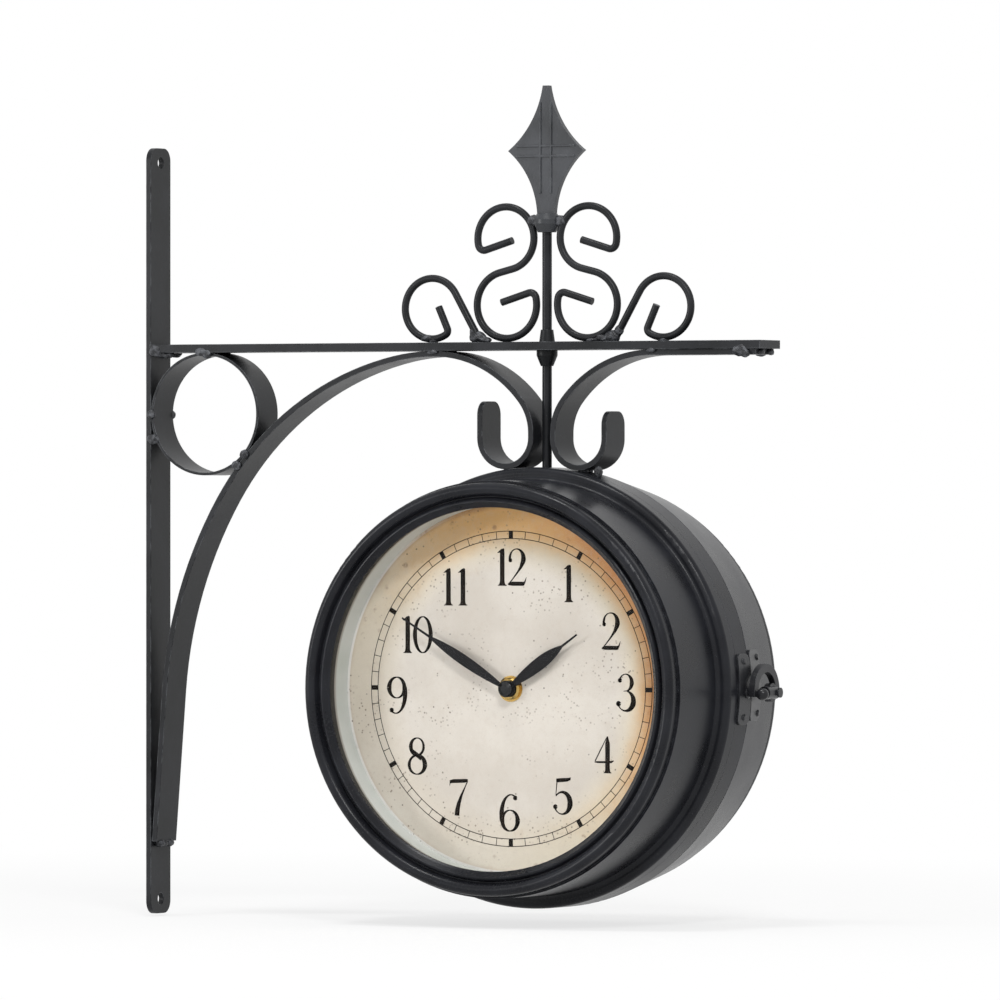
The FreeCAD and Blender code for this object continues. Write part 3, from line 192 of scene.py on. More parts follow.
coatGrain = {
    "broad": 38,
    "peel": 900,  # the coat's fine orange peel
    "edgeBreakup": 140,
    "grit": 420,  # a few specks of dust baked in
    "gritColour": (0.06, 0.063, 0.070),
    "edgeReach": 1.6,  # how far the wear and painted edge highlight go past the rounded edge
    "height": 0.00006,
}


def powderCoat(name):
    look = coatLooks[name]
    grain = coatGrain
    coat = Finish(name)
    broad = coat.noise(grain["broad"], 3)
    peel = coat.noise(grain["peel"], 2)
    speck = 1 - coat.cells(grain["grit"]).above(0.05, 0.13)
    # lighter edges: partly wear, partly a painted highlight where light catches the edges
    wornAndHighlightMask = coat.edges(look["edge"] * grain["edgeReach"]) * coat.noise(grain["edgeBreakup"], 3).above(0.38, 0.62)
    colour = coat.mix(broad.above(0.3, 0.7), look["dark"], look["light"])
    colour = coat.mix(wornAndHighlightMask * 0.75, colour, look["wornAndHighlight"])
    coat.set(colour=coat.mix(speck * 0.45, colour, grain["gritColour"]), specular=look["gloss"])
    coat.set(rough=look["rough"] + (broad - 0.5) * 0.18 + (peel - 0.5) * 0.08)
    coat.bump(peel * 0.6 + speck * 0.5, grain["height"], edge=look["edge"])
    return coat.material


weldCoatLook = {
    "dark": (0.016, 0.017, 0.020),
    "light": (0.085, 0.089, 0.099),
    "rough": 0.32,
    "gloss": 0.35,
    "lumps": 420,
    "ripple": 1300,
    "height": 0.0007,
}


def weldCoat():  # the same coat over a rough run of weld, rubbed lighter on its high spots
    look = weldCoatLook
    weld = Finish("weldCoat")
    lumps = weld.noise(look["lumps"], 4)
    ripple = weld.noise(look["ripple"], 2)
    weld.set(colour=weld.mix(lumps.above(0.42, 0.68), look["dark"], look["light"]))
    weld.set(rough=look["rough"] + ripple * 0.2, specular=look["gloss"])
    weld.bump(lumps + ripple * 0.4, look["height"])
    return weld.material


# bare and plated metal

metalLooks = {
    "zinc": {"dark": (0.40, 0.41, 0.43), "light": (0.62, 0.62, 0.62), "rough": 0.32, "edge": 0.0002},
    "plateSteel": {"dark": (0.38, 0.38, 0.39), "light": (0.58, 0.58, 0.58), "rough": 0.36, "edge": 0.0003},
    "brass": {"dark": (0.52, 0.33, 0.09), "light": (0.80, 0.58, 0.22), "rough": 0.2, "edge": 0.00015},
}
metalGrain = {"brush": (60, 900, 900), "stain": 120, "height": 0.00001}


def bareMetal(name):
    look = metalLooks[name]
    metal = Finish(name)
    scale = {"Vector": metal.place, "Scale": metalGrain["brush"]}
    brushed = metal.noise(1, 4, metal.node("ShaderNodeMapping", {}, scale))
    stain = metal.noise(metalGrain["stain"], 3)
    metal.set(colour=metal.mix(stain.above(0.35, 0.7), look["dark"], look["light"]), metal=1.0)
    metal.set(rough=look["rough"] + (brushed - 0.5) * 0.2 + (stain - 0.5) * 0.1)
    metal.bump(brushed, metalGrain["height"], edge=look["edge"])
    return metal.material


# glass, rubber, spacer and plastics

glassLook = {"colour": (0.10, 0.12, 0.12), "ior": 1.5, "rough": 0.02, "smear": 24, "alpha": 0.018, "rim": 0.4}


def clearGlass():
    look = glassLook
    glass = Finish("clearGlass")
    rim = glass.node("ShaderNodeLayerWeight", {}, {"Blend": 0.5}, "Facing")
    smear = glass.noise(look["smear"], 3)
    glass.set(colour=look["colour"], ior=look["ior"], rough=look["rough"] + smear.above(0.5, 0.8) * 0.05)
    glass.set(alpha=look["alpha"] + (rim ** 3) * look["rim"])
    return glass.material


rubberLook = {
    "black": (0.012, 0.012, 0.012),
    "dusty": (0.035, 0.034, 0.032),
    "rough": 0.72,
    "fine": 1400,
    "dust": 90,
    "height": 0.00004,
}


def blackRubber():
    look = rubberLook
    rubber = Finish("blackRubber")
    fine = rubber.noise(look["fine"], 3)
    dust = rubber.noise(look["dust"], 3)
    rubber.set(colour=rubber.mix(dust.above(0.5, 0.8), look["black"], look["dusty"]))
    rubber.set(rough=look["rough"] + (fine - 0.5) * 0.2)
    rubber.bump(fine, look["height"])
    return rubber.material


spacerLook = {
    "dark": (0.57, 0.61, 0.58),
    "light": (0.67, 0.70, 0.68),
    # painted shade: a darker band on the wall near the glass, where the lip shades it
    "shade": (0.36, 0.345, 0.31),
    "shadeEnds": (0.0046, 0.0066),  # metres in from the ring's end at the gasket
    # the black line at the glass end: partly the gasket's colour, partly painted shadow in the gap
    "gasketAndShadow": (0.008, 0.008, 0.009),
    "gasketAndShadowEnds": (0.0036, 0.0041),
    "rough": 0.42,
    "fine": 800,
    "broad": 30,
    "height": 0.00003,
    "edge": 0.0003,
}


def spacerPaint():  # the pale inside wall between glass and dial, with a band of painted shade under the lip and a black line at the glass, partly the gasket's colour and partly painted shadow in the gap
    look = spacerLook
    paint = Finish("spacerPaint")
    fine = paint.noise(look["fine"], 2)
    broad = paint.noise(look["broad"], 3)
    depth = paint.node("ShaderNodeSeparateXYZ", {}, [paint.place], "Y")
    fromFront = depth.math("ABSOLUTE", depth - layout["frontSpacerEndY"])
    fromRear = depth.math("ABSOLUTE", depth - layout["rearSpacerEndY"])
    inside = fromFront.math("MINIMUM", fromFront, fromRear)
    wall = paint.mix(broad.above(0.3, 0.7), look["dark"], look["light"])
    # painted shade near the lip, then the black line of gasket colour and painted shadow at the glass
    wall = paint.mix(1 - inside.above(*look["shadeEnds"]), wall, look["shade"])
    paint.set(colour=paint.mix(1 - inside.above(*look["gasketAndShadowEnds"]), wall, look["gasketAndShadow"]))
    paint.set(rough=look["rough"] + (broad - 0.5) * 0.2)
    paint.bump(fine, look["height"], edge=look["edge"])
    return paint.material


plasticLooks = {
    "movementPlastic": {
        "colour": (0.014, 0.014, 0.015), "other": (0.024, 0.024, 0.026),
        "rough": 0.48, "gloss": 0.4, "grain": 1300,
    },
    "capPlastic": {
        "colour": (0.005, 0.005, 0.006), "other": (0.009, 0.009, 0.011),
        "rough": 0.18, "gloss": 0.4, "grain": 600,
    },
    "handPaint": {
        "colour": (0.006, 0.005, 0.006), "other": (0.011, 0.010, 0.012),
        "rough": 0.45, "gloss": 0.14, "grain": 1500,
    },
    "ink": {
        "colour": (0.009, 0.007, 0.006), "other": (0.022, 0.015, 0.011),
        "rough": 0.6, "gloss": 0.08, "grain": 2200,
    },
}
plasticGrain = {"broad": 70, "height": 0.00002, "edge": 0.00015}


def plainCoat(name):
    look = plasticLooks[name]
    plastic = Finish(name)
    grain = plastic.noise(look["grain"], 2)
    broad = plastic.noise(plasticGrain["broad"], 3)
    plastic.set(colour=plastic.mix(broad.above(0.3, 0.7), look["colour"], look["other"]))
    plastic.set(rough=look["rough"] + (grain - 0.5) * 0.16, specular=look["gloss"])
    plastic.bump(grain, plasticGrain["height"], edge=plasticGrain["edge"])
    return plastic.material


cellLook = {
    "sleeve": (0.012, 0.03, 0.09),
    "band": (0.62, 0.60, 0.55),
    "bandEnds": (0.0118, 0.0122),  # metres along the cell from its middle
    "cap": (0.55, 0.55, 0.56),
    "capEnds": (0.0247, 0.0249),
    "rough": 0.22,
    "scuff": 300,
    "height": 0.00002,
}


def cellSleeve():
    look = cellLook
    cell = Finish("cellSleeve")
    along = cell.node("ShaderNodeSeparateXYZ", {}, [cell.place], "X") - layout["centreX"]
    band = along.above(*look["bandEnds"])
    metalEnd = along.math("ABSOLUTE", along).above(*look["capEnds"])
    scuff = cell.noise(look["scuff"], 3)
    sleeve = cell.mix(band, look["sleeve"], look["band"])
    cell.set(colour=cell.mix(metalEnd, sleeve, look["cap"]), metal=metalEnd)
    cell.set(rough=look["rough"] + scuff * 0.15)
    cell.bump(scuff, look["height"])
    return cell.material


# the printed dial: cream card, browned towards the rim, with foxing

dialLook = {
    "cream": (0.68, 0.622, 0.548),
    "paper": (0.775, 0.722, 0.648),
    "straw": (0.80, 0.655, 0.395),
    "gold": (0.70, 0.405, 0.145),
    "amber": (0.55, 0.215, 0.06),
    "rimBrown": (0.33, 0.17, 0.075),
    "cutEdge": (0.86, 0.85, 0.83),
    "damp": (0.50, 0.34, 0.18),
    "rust": (0.20, 0.075, 0.03),
    "spot": (0.16, 0.10, 0.06),
    "freckle": (0.075, 0.042, 0.025),
    "fibre": (0.60, 0.51, 0.42),
    "dust": (0.55, 0.47, 0.38),
    "rough": 0.52,
    "height": 0.00002,
    "rim": 0.101,
    "warmSide": 44,  # degrees up from the dial's right, where the browning is strongest
}
dialGrain = {
    "drift": 26, "patches": 75, "fine": 900, "fibre": 240,
    "clusters": 48, "spots": 430, "loose": 31, "freckles": 210, "rust": 150,
}


class DialCard(Finish):
    def __init__(self, name, side):
        super().__init__(name)
        centred = self.node("ShaderNodeMapping", {}, {
            "Vector": self.place, "Location": (-layout["centreX"], 0, -layout["centreZ"])})
        across = self.node("ShaderNodeSeparateXYZ", {}, [centred], "X") * side
        up = self.node("ShaderNodeSeparateXYZ", {}, [centred], "Z")
        warm = math.radians(dialLook["warmSide"])
        lean = across * math.cos(warm) + up * math.sin(warm)
        self.radius = (across * across + up * up) ** 0.5
        self.lean = lean / dialLook["rim"]  # 1 at the warm side, -1 across from it
        self.right = across / dialLook["rim"]
        self.drift = self.noise(dialGrain["drift"], 4)
        self.patches = self.noise(dialGrain["patches"], 5, roughness=0.62)
        self.ragged = self.patches - 0.5
        self.reach = self.radius + (self.drift - 0.5) * 0.010 + self.ragged * 0.004

    def browned(self):  # cream in the middle, straw, gold and amber out to the rim
        look = dialLook
        lean = self.lean
        reach = self.reach
        colour = self.mix(self.drift.above(0.3, 0.7), look["cream"], look["paper"])
        colour = self.mix(reach.above(0.062, 0.084) * (0.46 + lean * 0.40), colour, look["straw"])
        golden = reach.above(0.071, 0.088) * (lean + self.ragged * 0.5).above(-0.40, 0.60)
        colour = self.mix(golden, colour, look["gold"])
        hot = (lean * 0.6 + self.right * 0.75 + self.ragged * 0.6).above(0.35, 1.10)
        colour = self.mix(reach.above(0.073, 0.090) * hot * 0.9, colour, look["amber"])
        rimmed = (self.radius + self.ragged * 0.003).above(0.0955, 0.0990)
        colour = self.mix(rimmed * (0.30 + lean.above(-0.6, 0.8) * 0.5), colour, look["rimBrown"])
        bare = self.radius.above(0.0974, 0.0979) * (1 - lean.above(-0.2, 0.5))
        return self.mix(bare * 0.8, colour, look["cutEdge"])

    def scattered(self, scale, low, high):  # 1 in the middle of a speck
        return 1 - self.cells(scale).above(low, high)

    def foxed(self, colour):  # damp stains, rust near the rim, clusters of spots, loose freckles
        look = dialLook
        grain = dialGrain
        damp = self.patches.above(0.60, 0.78) * self.radius.above(0.03, 0.1) * 0.35
        colour = self.mix(damp, colour, look["damp"])
        rust = self.scattered(grain["rust"], 0.10, 0.30) * self.reach.above(0.080, 0.090)
        colour = self.mix(rust * self.patches.above(0.50, 0.64) * 0.75, colour, look["rust"])
        clusters = self.noise(grain["clusters"], 3).above(0.50, 0.62)
        spots = self.scattered(grain["spots"], 0.15, 0.29) * clusters
        colour = self.mix(spots * (0.35 + self.radius * 4), colour, look["spot"])
        loose = self.noise(grain["loose"], 2).above(0.42, 0.55)
        freckles = self.scattered(grain["freckles"], 0.05, 0.13) * loose
        return self.mix(freckles * 0.8, colour, look["freckle"])


def dialCard(name, side):
    look = dialLook
    card = DialCard(name, side)
    fine = card.noise(dialGrain["fine"], 3)
    fibre = card.noise(dialGrain["fibre"], 4, roughness=0.7)  # the paper under the varnish
    colour = card.foxed(card.browned())
    colour = card.mix(fibre.above(0.45, 0.75) * 0.22, colour, look["fibre"])
    card.set(colour=card.mix(fine.above(0.5, 0.8) * 0.16, colour, look["dust"]))
    card.set(rough=look["rough"] + card.ragged * 0.2)
    card.bump(fine, look["height"])
    return card.material


finishes = {
    "bracket_paint": powderCoat("bracketCoat"),
    "case_paint": powderCoat("caseCoat"),
    "latch_paint": powderCoat("latchCoat"),
    "zinc_steel": bareMetal("zinc"),
    "plate_steel": bareMetal("plateSteel"),
    "brass": bareMetal("brass"),
    "clear_glass": clearGlass(),
    "black_rubber": blackRubber(),
    "spacer_paint": spacerPaint(),
    "movement_plastic": plainCoat("movementPlastic"),
    "cap_plastic": plainCoat("capPlastic"),
    "hand_paint": plainCoat("handPaint"),
    "cell_wrap": cellSleeve(),
}
castCoat = powderCoat("castCoat")
special = {
    "front_dial": dialCard("frontCard", 1),
    "rear_dial": dialCard("rearCard", -1),
    "weld_beads": weldCoat(),
    "finial": castCoat,
    "finial_knob": castCoat,
}
ink = plainCoat("ink")
for entry in frame["record"]["subparts"]:
    node = nodes[entry["node"]]
    node.data.materials.clear()
    node.data.materials.append(special.get(entry["node"]) or finishes[entry["material_slot"]])
print("finishes set:", len(bpy.data.materials))


# modelling helpers

def letGo():
    for item in bpy.context.selected_objects:
        item.select_set(False)


def pick(items):
    letGo()
    for item in items:
        item.select_set(True)
    bpy.context.view_layer.objects.active = items[0]


def settle(item):  # leave the object at the origin with its place in its mesh
    pick([item])
    bpy.ops.object.transform_apply(location=True, rotation=True, scale=True)


def joined(items, name):
    pick(items)
    if len(items) > 1:
        bpy.ops.object.join()
    item = bpy.context.view_layer.objects.active
    item.name = name
    settle(item)
    return item


# runs of weld where the straps, wires and collars join

weldLook = {"grain": 0.00045, "lumpSize": 0.0028, "lumpHeight": 0.0012}
weldRuns = [  # middle and half sizes of each blob, in millimetres
    # the arm on the wall bar
    ((6, -11.4, 98.6), (4, 2.2, 3.4)),
    ((11, -9, 96.4), (6.5, 3, 2.0)),
    ((6, 11.4, 98.2), (4, 2.2, 3.2)),
    # the ring on the arm, the wall bar and the brace
    ((34.8, -11.6, 98.0), (4, 2.0, 2.4)),
    ((38.6, -11.5, 96.8), (2.8, 1.9, 2.9)),
    ((36.6, 11.6, 97), (3.8, 2.0, 2.6)),
    ((3.4, -11.2, 63.9), (2.6, 1.6, 2.6)),
    ((4.4, -11.2, 50.2), (3.8, 1.9, 2.8)),
    ((3.1, 11.5, 63.9), (3, 1.9, 2.6)),
    ((61.6, -11.5, 41.8), (2.6, 1.6, 2.6)),
    ((56.6, -11.4, 35.8), (3.2, 1.9, 2.7)),
    ((61.6, 11.7, 41.7), (3, 1.9, 2.6)),
    # the brace's foot on the wall bar
    ((5.2, -5.6, -171.2), (3.2, 3, 2.4)),
    ((5.0, 5.2, -171.4), (3, 3.2, 2.2)),
    ((5.1, -0.4, -171.6), (2.4, 3.4, 1.7)),
    # the two straps under the arm
    ((177.5, -11.6, 97.0), (3.2, 1.5, 1.5)),
    ((177.5, 11.6, 97.0), (3, 1.5, 1.5)),
    ((309, -11.6, 97.0), (3.2, 1.5, 1.5)),
    ((309, 11.6, 97.0), (3, 1.5, 1.5)),
    # the wire scrolls on the arm
    ((199.2, 0, 104.6), (5.2, 3.3, 3.4)),
    ((196.6, 0.2, 107.8), (2.6, 2.5, 3.2)),
    ((204.0, -0.3, 103.2), (3.6, 2.8, 1.8)),
    ((280.4, 0, 104.6), (4.6, 3.3, 3.6)),
    ((274.2, 0.2, 103.6), (5.4, 3.0, 2.5)),
    ((268.4, 0, 102.8), (4, 2.5, 1.5)),
    ((284.4, -0.2, 107.8), (2.4, 2.4, 3.0)),
    ((168.6, 0, 104.4), (4.8, 2.4, 2.0)),
    ((172.2, 0, 102.8), (3, 2.3, 1.4)),
    ((310.8, 0, 102.8), (3.4, 2.3, 1.5)),
    # the S scrolls under the finial
    ((232.9, 0.2, 167.2), (3.8, 3.0, 3.3)),
    ((249.1, -0.2, 166.8), (3.8, 3.0, 3.3)),
    # the scroll strap at the arm's end
    ((362.0, -12.0, 96.6), (4.6, 1.7, 3.4)),
    ((365.4, -12.0, 94.8), (2.8, 1.5, 2.2)),
    ((363.0, 12.0, 96.2), (4.2, 1.6, 3.0)),
    ((371.4, -5.4, 95.8), (2.2, 2.8, 1.9)),
    ((371.4, 5.4, 95.8), (2.2, 2.8, 1.9)),
    # the two scrolls on top of the case
    ((220.9, -5.8, 33.2), (3.2, 2.6, 1.4)),
    ((220.9, 0.2, 33.2), (3, 2.3, 1.3)),
    ((265.7, -5.8, 32.4), (3.2, 2.6, 1.4)),
    ((265.7, 0.2, 32.4), (3, 2.3, 1.3)),
    ((276.6, -9.4, 31.6), (2.4, 2.2, 3.6)),
]


def blob(place, size):
    bpy.ops.mesh.primitive_ico_sphere_add(subdivisions=3, radius=1)
    item = bpy.context.view_layer.objects.active
    item.scale = [half / 1000 for half in size]
    bpy.ops.object.transform_apply(scale=True)
    item.location = [step / 1000 for step in place]
    return item


def finished(item, kind, **settings):  # add a modifier and apply it
    modifier = item.modifiers.new(kind.lower(), kind)
    for key, setting in settings.items():
        setattr(modifier, key, setting)
    pick([item])
    bpy.ops.object.modifier_apply(modifier=modifier.name)


def weldPiece():
    letGo()
    item = joined([blob(place, size) for place, size in weldRuns], "weld_runs")
    finished(item, "REMESH", mode="VOXEL", voxel_size=weldLook["grain"])
    clouds = bpy.data.textures.new("weldLumps", "CLOUDS")
    clouds.noise_scale = weldLook["lumpSize"]
    finished(item, "DISPLACE", texture=clouds, texture_coords="LOCAL",
             strength=weldLook["lumpHeight"], mid_level=0.5)
    finished(item, "SMOOTH", iterations=2)
    bpy.ops.object.shade_smooth()
    item.data.materials.clear()
    item.data.materials.append(special["weld_beads"])
    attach(item, "bracket")
    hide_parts("weld_beads")
    return item


print("weld runs:", len(weldPiece().data.polygons), "faces")


# numerals, drawn as pen strokes: each point is across, up and half the stroke's width

numeralLook = {
    "height": 0.0199,
    "thick": 0.068,
    "thin": 0.013,
    "gap": 0.02,
    "pairGap": 0.15,  # more room in 11
    "sweepSteps": 32,
    "dropSides": 12,
    "nibHeight": 0.02,
}


def sweep(cx, cy, rx, ry, start, stop, widths):  # part of an oval, the pen's width changing along it
    stroke = []
    steps = numeralLook["sweepSteps"]
    for step in range(steps + 1):
        along = step / steps
        angle = math.radians(start + (stop - start) * along)
        place = along * (len(widths) - 1)
        low = min(int(place), len(widths) - 2)
        width = widths[low] + (widths[low + 1] - widths[low]) * (place - low)
        stroke.append((cx + rx * math.cos(angle), cy + ry * math.sin(angle), width))
    return stroke


def drop(cx, cy, size):  # a round blob at the end of a stroke
    half = size / 2
    sides = numeralLook["dropSides"]
    angles = [step * 2 * math.pi / sides for step in range(sides + 1)]
    return [(cx + half * math.cos(angle), cy + half * math.sin(angle), half) for angle in angles]


def foot(x, width):  # a serif that flares out of its stem
    stem = numeralLook["thick"]
    return [(x, 0.0, width), (x, 0.018, width * 0.94), (x, 0.036, width * 0.70),
            (x, 0.075, stem * 1.12), (x, 0.13, stem)]


def strokesOf(digit):
    thick = numeralLook["thick"]
    thin = numeralLook["thin"]
    if digit == "1":
        flag = [(0.0, 0.885, 0.006), (0.05, 0.905, 0.020), (0.10, 0.932, 0.034), (0.15, 0.955, 0.040)]
        stem = [(0.15, 0.05, thick), (0.15, 0.90, thick), (0.16, 0.955, thick * 0.86), (0.20, 0.995, 0.018)]
        return [stem, flag, foot(0.15, 0.135)], 0.29
    if digit == "2":
        bowl = sweep(0.275, 0.74, 0.205, 0.25, 192, -35,
                     [0.040, 0.034, 0.020, thin, 0.018, 0.036, 0.058, 0.072, 0.060])
        neck = [(0.443, 0.597, 0.060), (0.40, 0.50, 0.042), (0.30, 0.36, 0.024), (0.17, 0.20, 0.016),
                (0.05, 0.06, 0.016)]
        base = [(0.01, 0.035, 0.012), (0.05, 0.05, 0.038), (0.14, 0.056, 0.055), (0.46, 0.055, 0.055),
                (0.50, 0.062, 0.050)]
        tail = [(0.47, 0.05, 0.045), (0.525, 0.11, 0.022), (0.57, 0.235, 0.004)]
        return [bowl, neck, base, tail, drop(0.085, 0.685, 0.055)], 0.58
    if digit == "3":
        upper = sweep(0.28, 0.765, 0.185, 0.225, 162, -75,
                      [0.026, 0.017, thin, 0.024, 0.050, 0.062, 0.042, 0.015])
        middle = [(0.33, 0.546, 0.015), (0.22, 0.535, 0.009)]
        lower = sweep(0.28, 0.275, 0.235, 0.265, 80, -162,
                      [0.015, 0.042, 0.070, 0.078, 0.055, 0.024, 0.014, 0.024])
        return [upper, middle, lower, drop(0.112, 0.825, 0.062), drop(0.070, 0.20, 0.072)], 0.55
    if digit == "4":
        slant = [(0.385, 0.99, 0.009), (0.20, 0.66, 0.016), (0.02, 0.325, 0.016)]
        bar = [(0.0, 0.300, 0.012), (0.10, 0.296, 0.026), (0.50, 0.300, 0.029), (0.575, 0.335, 0.012)]
        stem = [(0.39, 0.05, thick), (0.39, 0.80, thick), (0.39, 0.99, 0.010)]
        return [slant, bar, stem, foot(0.39, 0.12)], 0.58
    if digit == "5":
        flag = [(0.09, 0.87, 0.010), (0.11, 0.91, 0.052), (0.25, 0.922, 0.054), (0.40, 0.932, 0.050),
                (0.485, 0.955, 0.036), (0.51, 0.995, 0.006)]
        spine = [(0.105, 0.90, 0.016), (0.085, 0.72, 0.013), (0.068, 0.51, 0.012)]
        bowl = sweep(0.255, 0.305, 0.24, 0.295, 140, -160,
                     [0.014, 0.026, 0.048, 0.070, 0.078, 0.052, 0.020, 0.015, 0.024])
        return [flag, spine, bowl, drop(0.052, 0.205, 0.066)], 0.54
    if digit == "6":
        spine = sweep(0.335, 0.46, 0.285, 0.53, 62, 200, [0.026, 0.016, 0.028, 0.050, 0.066, 0.066])
        bowl = sweep(0.305, 0.295, 0.232, 0.280, 0, 360,
                     [0.072, 0.040, 0.014, 0.034, 0.062, 0.044, 0.014, 0.044, 0.072])
        return [spine, bowl, drop(0.462, 0.905, 0.064)], 0.58
    if digit == "7":
        bar = [(0.010, 0.875, 0.010), (0.03, 0.91, 0.044), (0.12, 0.928, 0.052), (0.46, 0.94, 0.050),
               (0.55, 0.955, 0.034)]
        tick = [(0.025, 0.92, 0.022), (0.0, 0.80, 0.005)]
        stem = [(0.545, 0.93, 0.014), (0.46, 0.76, 0.018), (0.36, 0.55, 0.034), (0.28, 0.34, 0.055),
                (0.235, 0.15, 0.068), (0.222, 0.0, 0.072)]
        return [bar, tick, stem], 0.56
    if digit == "8":
        upper = sweep(0.295, 0.755, 0.195, 0.232, 0, 360,
                      [0.038, 0.026, 0.014, 0.038, 0.058, 0.048, 0.028, 0.034, 0.038])
        lower = sweep(0.290, 0.265, 0.240, 0.255, 0, 360,
                      [0.070, 0.054, 0.030, 0.032, 0.046, 0.034, 0.014, 0.044, 0.070])
        cross = [(0.150, 0.645, 0.040), (0.27, 0.545, 0.056), (0.43, 0.425, 0.058)]
        return [upper, lower, cross], 0.57
    if digit == "9":
        strokes, width = strokesOf("6")
        return [[(width - x, 1 - y, half) for x, y, half in stroke] for stroke in strokes], width
    bowl = sweep(0.30, 0.5, 0.240, 0.485, 0, 360,
                 [0.064, 0.044, 0.014, 0.044, 0.064, 0.044, 0.014, 0.044, 0.064])
    return [bowl], 0.60


def numeral(text, nib):
    strokes = []
    start = 0
    gap = numeralLook["pairGap"] if text == "11" else numeralLook["gap"]
    for digit in text:
        drawn, width = strokesOf(digit)
        strokes += [[(x + start, y, half) for x, y, half in stroke] for stroke in drawn]
        start += width + gap
    middle = (start - gap) / 2
    size = numeralLook["height"]
    curve = bpy.data.curves.new("numeral" + text, "CURVE")
    curve.dimensions = "2D"
    curve.bevel_mode = "OBJECT"
    curve.bevel_object = nib
    curve.use_fill_caps = True
    for stroke in strokes:
        spline = curve.splines.new("POLY")
        spline.points.add(len(stroke) - 1)
        for point, (x, y, half) in zip(spline.points, stroke):
            point.co = ((x - middle) * size, (y - 0.5) * size, 0, 1)
            point.radius = half * size
    item = bpy.data.objects.new("numeral" + text, curve)
    bpy.context.scene.collection.objects.link(item)
    pick([item])
    bpy.ops.object.convert(target="MESH")
    return bpy.context.view_layer.objects.active


def flatNib():  # the pen: a strip that reaches one unit each way from the stroke's line, and is very thin
    bpy.ops.curve.primitive_bezier_circle_add(radius=1)
    nib = bpy.context.view_layer.objects.active
    spline = nib.data.splines[0]
    for point in spline.bezier_points:
        point.handle_left_type = "VECTOR"
        point.handle_right_type = "VECTOR"
    for point, (x, y) in zip(spline.bezier_points, ((-1, -1), (-1, 1), (1, 1), (1, -1))):
        point.co = (x, y * numeralLook["nibHeight"], 0)
    nib.data.resolution_u = 1
    return nib


# the dial's print, laid flat and stood up on its card

printLook = {
    "trackOuter": 0.0843,
    "trackInner": 0.0803,
    "line": 0.00042,
    "minuteLine": 0.00038,
    "hourBlock": 0.0025,
    "lift": 0.00004,
    "ringSides": 256,
}
numeralPlaces = {  # each number's middle, in metres across and up from the dial's centre
    "12": (0.0007, 0.0650), "1": (0.0346, 0.0564), "2": (0.0599, 0.0311), "3": (0.0684, -0.0014),
    "4": (0.0558, -0.0345), "5": (0.0310, -0.0568), "6": (-0.0008, -0.0664), "7": (-0.0313, -0.0583),
    "8": (-0.0567, -0.0366), "9": (-0.0686, -0.0040), "10": (-0.0562, 0.0286), "11": (-0.0333, 0.0543),
}


def flatRing(radius, width):  # a printed circle: a disc is inset and its middle taken out
    sides = printLook["ringSides"]
    bpy.ops.mesh.primitive_circle_add(vertices=sides, radius=radius + width / 2, fill_type="NGON")
    ring = bpy.context.view_layer.objects.active
    bpy.ops.object.mode_set(mode="EDIT")
    bpy.ops.mesh.select_all(action="SELECT")
    bpy.ops.mesh.inset(thickness=width)
    bpy.ops.mesh.delete(type="FACE")
    bpy.ops.object.mode_set(mode="OBJECT")
    return ring


def mark(angle, inner, outer, width):  # a minute line or an hour block across the track
    bpy.ops.mesh.primitive_plane_add(size=1)
    item = bpy.context.view_layer.objects.active
    item.scale = (width, outer - inner, 1)
    bpy.ops.object.transform_apply(scale=True)
    middle = (inner + outer) / 2
    item.location = (math.sin(angle) * middle, math.cos(angle) * middle, 0)
    item.rotation_euler = (0, 0, -angle)
    return item


def dialPrint():
    nib = flatNib()
    pieces = []
    for text, (x, y) in numeralPlaces.items():
        item = numeral(text, nib)
        item.location = (x, y, 0)
        pieces.append(item)
    inner = printLook["trackInner"]
    outer = printLook["trackOuter"]
    for radius in (inner, outer):
        letGo()
        pieces.append(flatRing(radius, printLook["line"]))
    for minute in range(60):
        letGo()
        width = printLook["minuteLine"] if minute % 5 else printLook["hourBlock"]
        pieces.append(mark(math.radians(minute * 6), inner, outer, width))
    bpy.data.objects.remove(nib)
    item = joined(pieces, "dial_print")
    item.data.materials.clear()
    item.data.materials.append(ink)
    return item


def standUp(item, name, y, turn, body):
    item.name = name
    place = Matrix.Translation((layout["centreX"], y, layout["centreZ"]))
    facing = Matrix.Rotation(math.radians(turn), 4, "Z")
    upright = Matrix.Rotation(math.radians(90), 4, "X")
    item.matrix_world = place @ facing @ upright
    settle(item)
    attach(item, body)


letGo()
frontPrint = dialPrint()
rearPrint = frontPrint.copy()
rearPrint.data = frontPrint.data.copy()
bpy.context.scene.collection.objects.link(rearPrint)
standUp(frontPrint, "front_dial_print", layout["frontDialY"] - printLook["lift"], 0, "bracket")
standUp(rearPrint, "rear_dial_print", layout["rearDialY"] + printLook["lift"], 180, "rear_cover")
print("dials printed:", len(frontPrint.data.polygons), "faces each")


# floor, light and camera

stageLook = {
    "middle": (0.2, 0, 0),  # what the lamps point at
    "floorZ": -0.2115,
    "floorSize": 14,
    "floor": (0.86, 0.86, 0.86),
    "floorRough": 0.9,
    "floorGloss": 0.1,
    "backdropShare": 0.72,  # how much of the floor is plain white under the object
    "fadeFrom": 0.25,  # metres from the frame's origin, from where the rest turns white as well
    "fadeTo": 1.1,
    "world": 0.50,
}
lampLooks = {
    "key": {"place": (1.7, -2.3, 2.1), "size": 0.7, "watts": 44},
    "fill": {"place": (-2.0, -2.5, 0.5), "size": 0.8, "watts": 26},
    "top": {"place": (0.1, -0.9, 2.9), "size": 0.6, "watts": 34},
}
cameraLook = {
    "turn": 27.2,  # degrees round from straight in front
    "distance": 5.384,
    "aimX": 0.2181,
    "aimY": -0.0109,
    "height": 0.0169,
    "lens": 360,
    "sensor": 36,
}


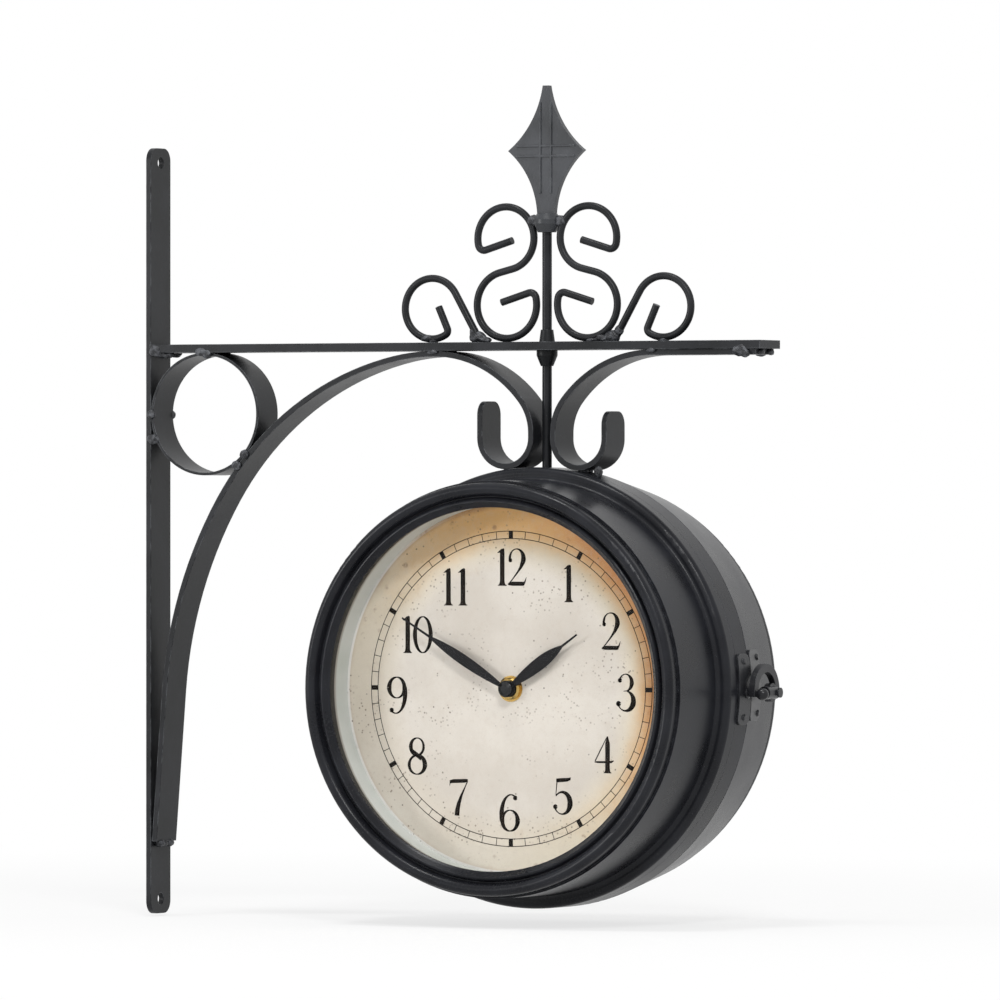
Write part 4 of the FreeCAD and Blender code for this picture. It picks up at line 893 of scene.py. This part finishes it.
def floorPlane():
    look = stageLook
    place = (look["middle"][0], look["middle"][1], look["floorZ"])
    bpy.ops.mesh.primitive_plane_add(size=look["floorSize"], location=place)
    floor = bpy.context.view_layer.objects.active
    floor.name = "floor"
    surface = Finish("floorPaint")
    surface.set(colour=look["floor"], rough=look["floorRough"], specular=look["floorGloss"])
    lit = Value(surface, surface.shader.outputs["BSDF"])
    white = surface.node("ShaderNodeEmission", {}, {"Strength": 1.0}, "Emission")
    away = surface.node("ShaderNodeVectorMath", {"operation": "LENGTH"}, [surface.place], "Value")
    fade = away.above(look["fadeFrom"], look["fadeTo"]) * (1 - look["backdropShare"])
    share = surface.pictured() * (fade + look["backdropShare"])
    blend = surface.node("ShaderNodeMixShader", {}, [share, lit, white])
    surface.tree.links.new(blend.socket, surface.tree.nodes["Material Output"].inputs["Surface"])
    floor.data.materials.append(surface.material)
    settle(floor)


def areaLamp(name):
    look = lampLooks[name]
    lamp = bpy.data.lights.new(name, "AREA")
    lamp.shape = "DISK"
    lamp.size = look["size"]
    lamp.energy = look["watts"]
    item = bpy.data.objects.new(name, lamp)
    bpy.context.scene.collection.objects.link(item)
    item.location = look["place"]
    towards = Vector(stageLook["middle"]) - Vector(look["place"])
    item.rotation_euler = towards.to_track_quat("-Z", "Y").to_euler()


def studioWorld():  # white in the picture, and dimmer as a light on the object
    world = bpy.data.worlds.new("studio")
    bpy.context.scene.world = world
    world.use_nodes = True
    studio = Graph(world.node_tree)
    back = studio.tree.nodes["Background"]
    back.inputs["Color"].default_value = (1, 1, 1, 1)
    level = studio.node("ShaderNodeMapRange", {}, {
        "Value": studio.pictured(), "To Min": stageLook["world"], "To Max": 1.0})
    studio.tree.links.new(level.socket, back.inputs["Strength"])


def photoCamera():
    look = cameraLook
    turn = math.radians(look["turn"])
    camera = bpy.data.cameras.new("camera")
    camera.lens = look["lens"]
    camera.sensor_width = look["sensor"]
    item = bpy.data.objects.new("camera", camera)
    bpy.context.scene.collection.objects.link(item)
    item.location = (look["aimX"] + look["distance"] * math.sin(turn),
                     look["aimY"] - look["distance"] * math.cos(turn), look["height"])
    item.rotation_euler = (math.radians(90), 0, turn)
    bpy.context.scene.camera = item


floorPlane()
studioWorld()
for name in lampLooks:
    areaLamp(name)
photoCamera()
bpy.context.scene.view_settings.view_transform = "Standard"
print("stage set")
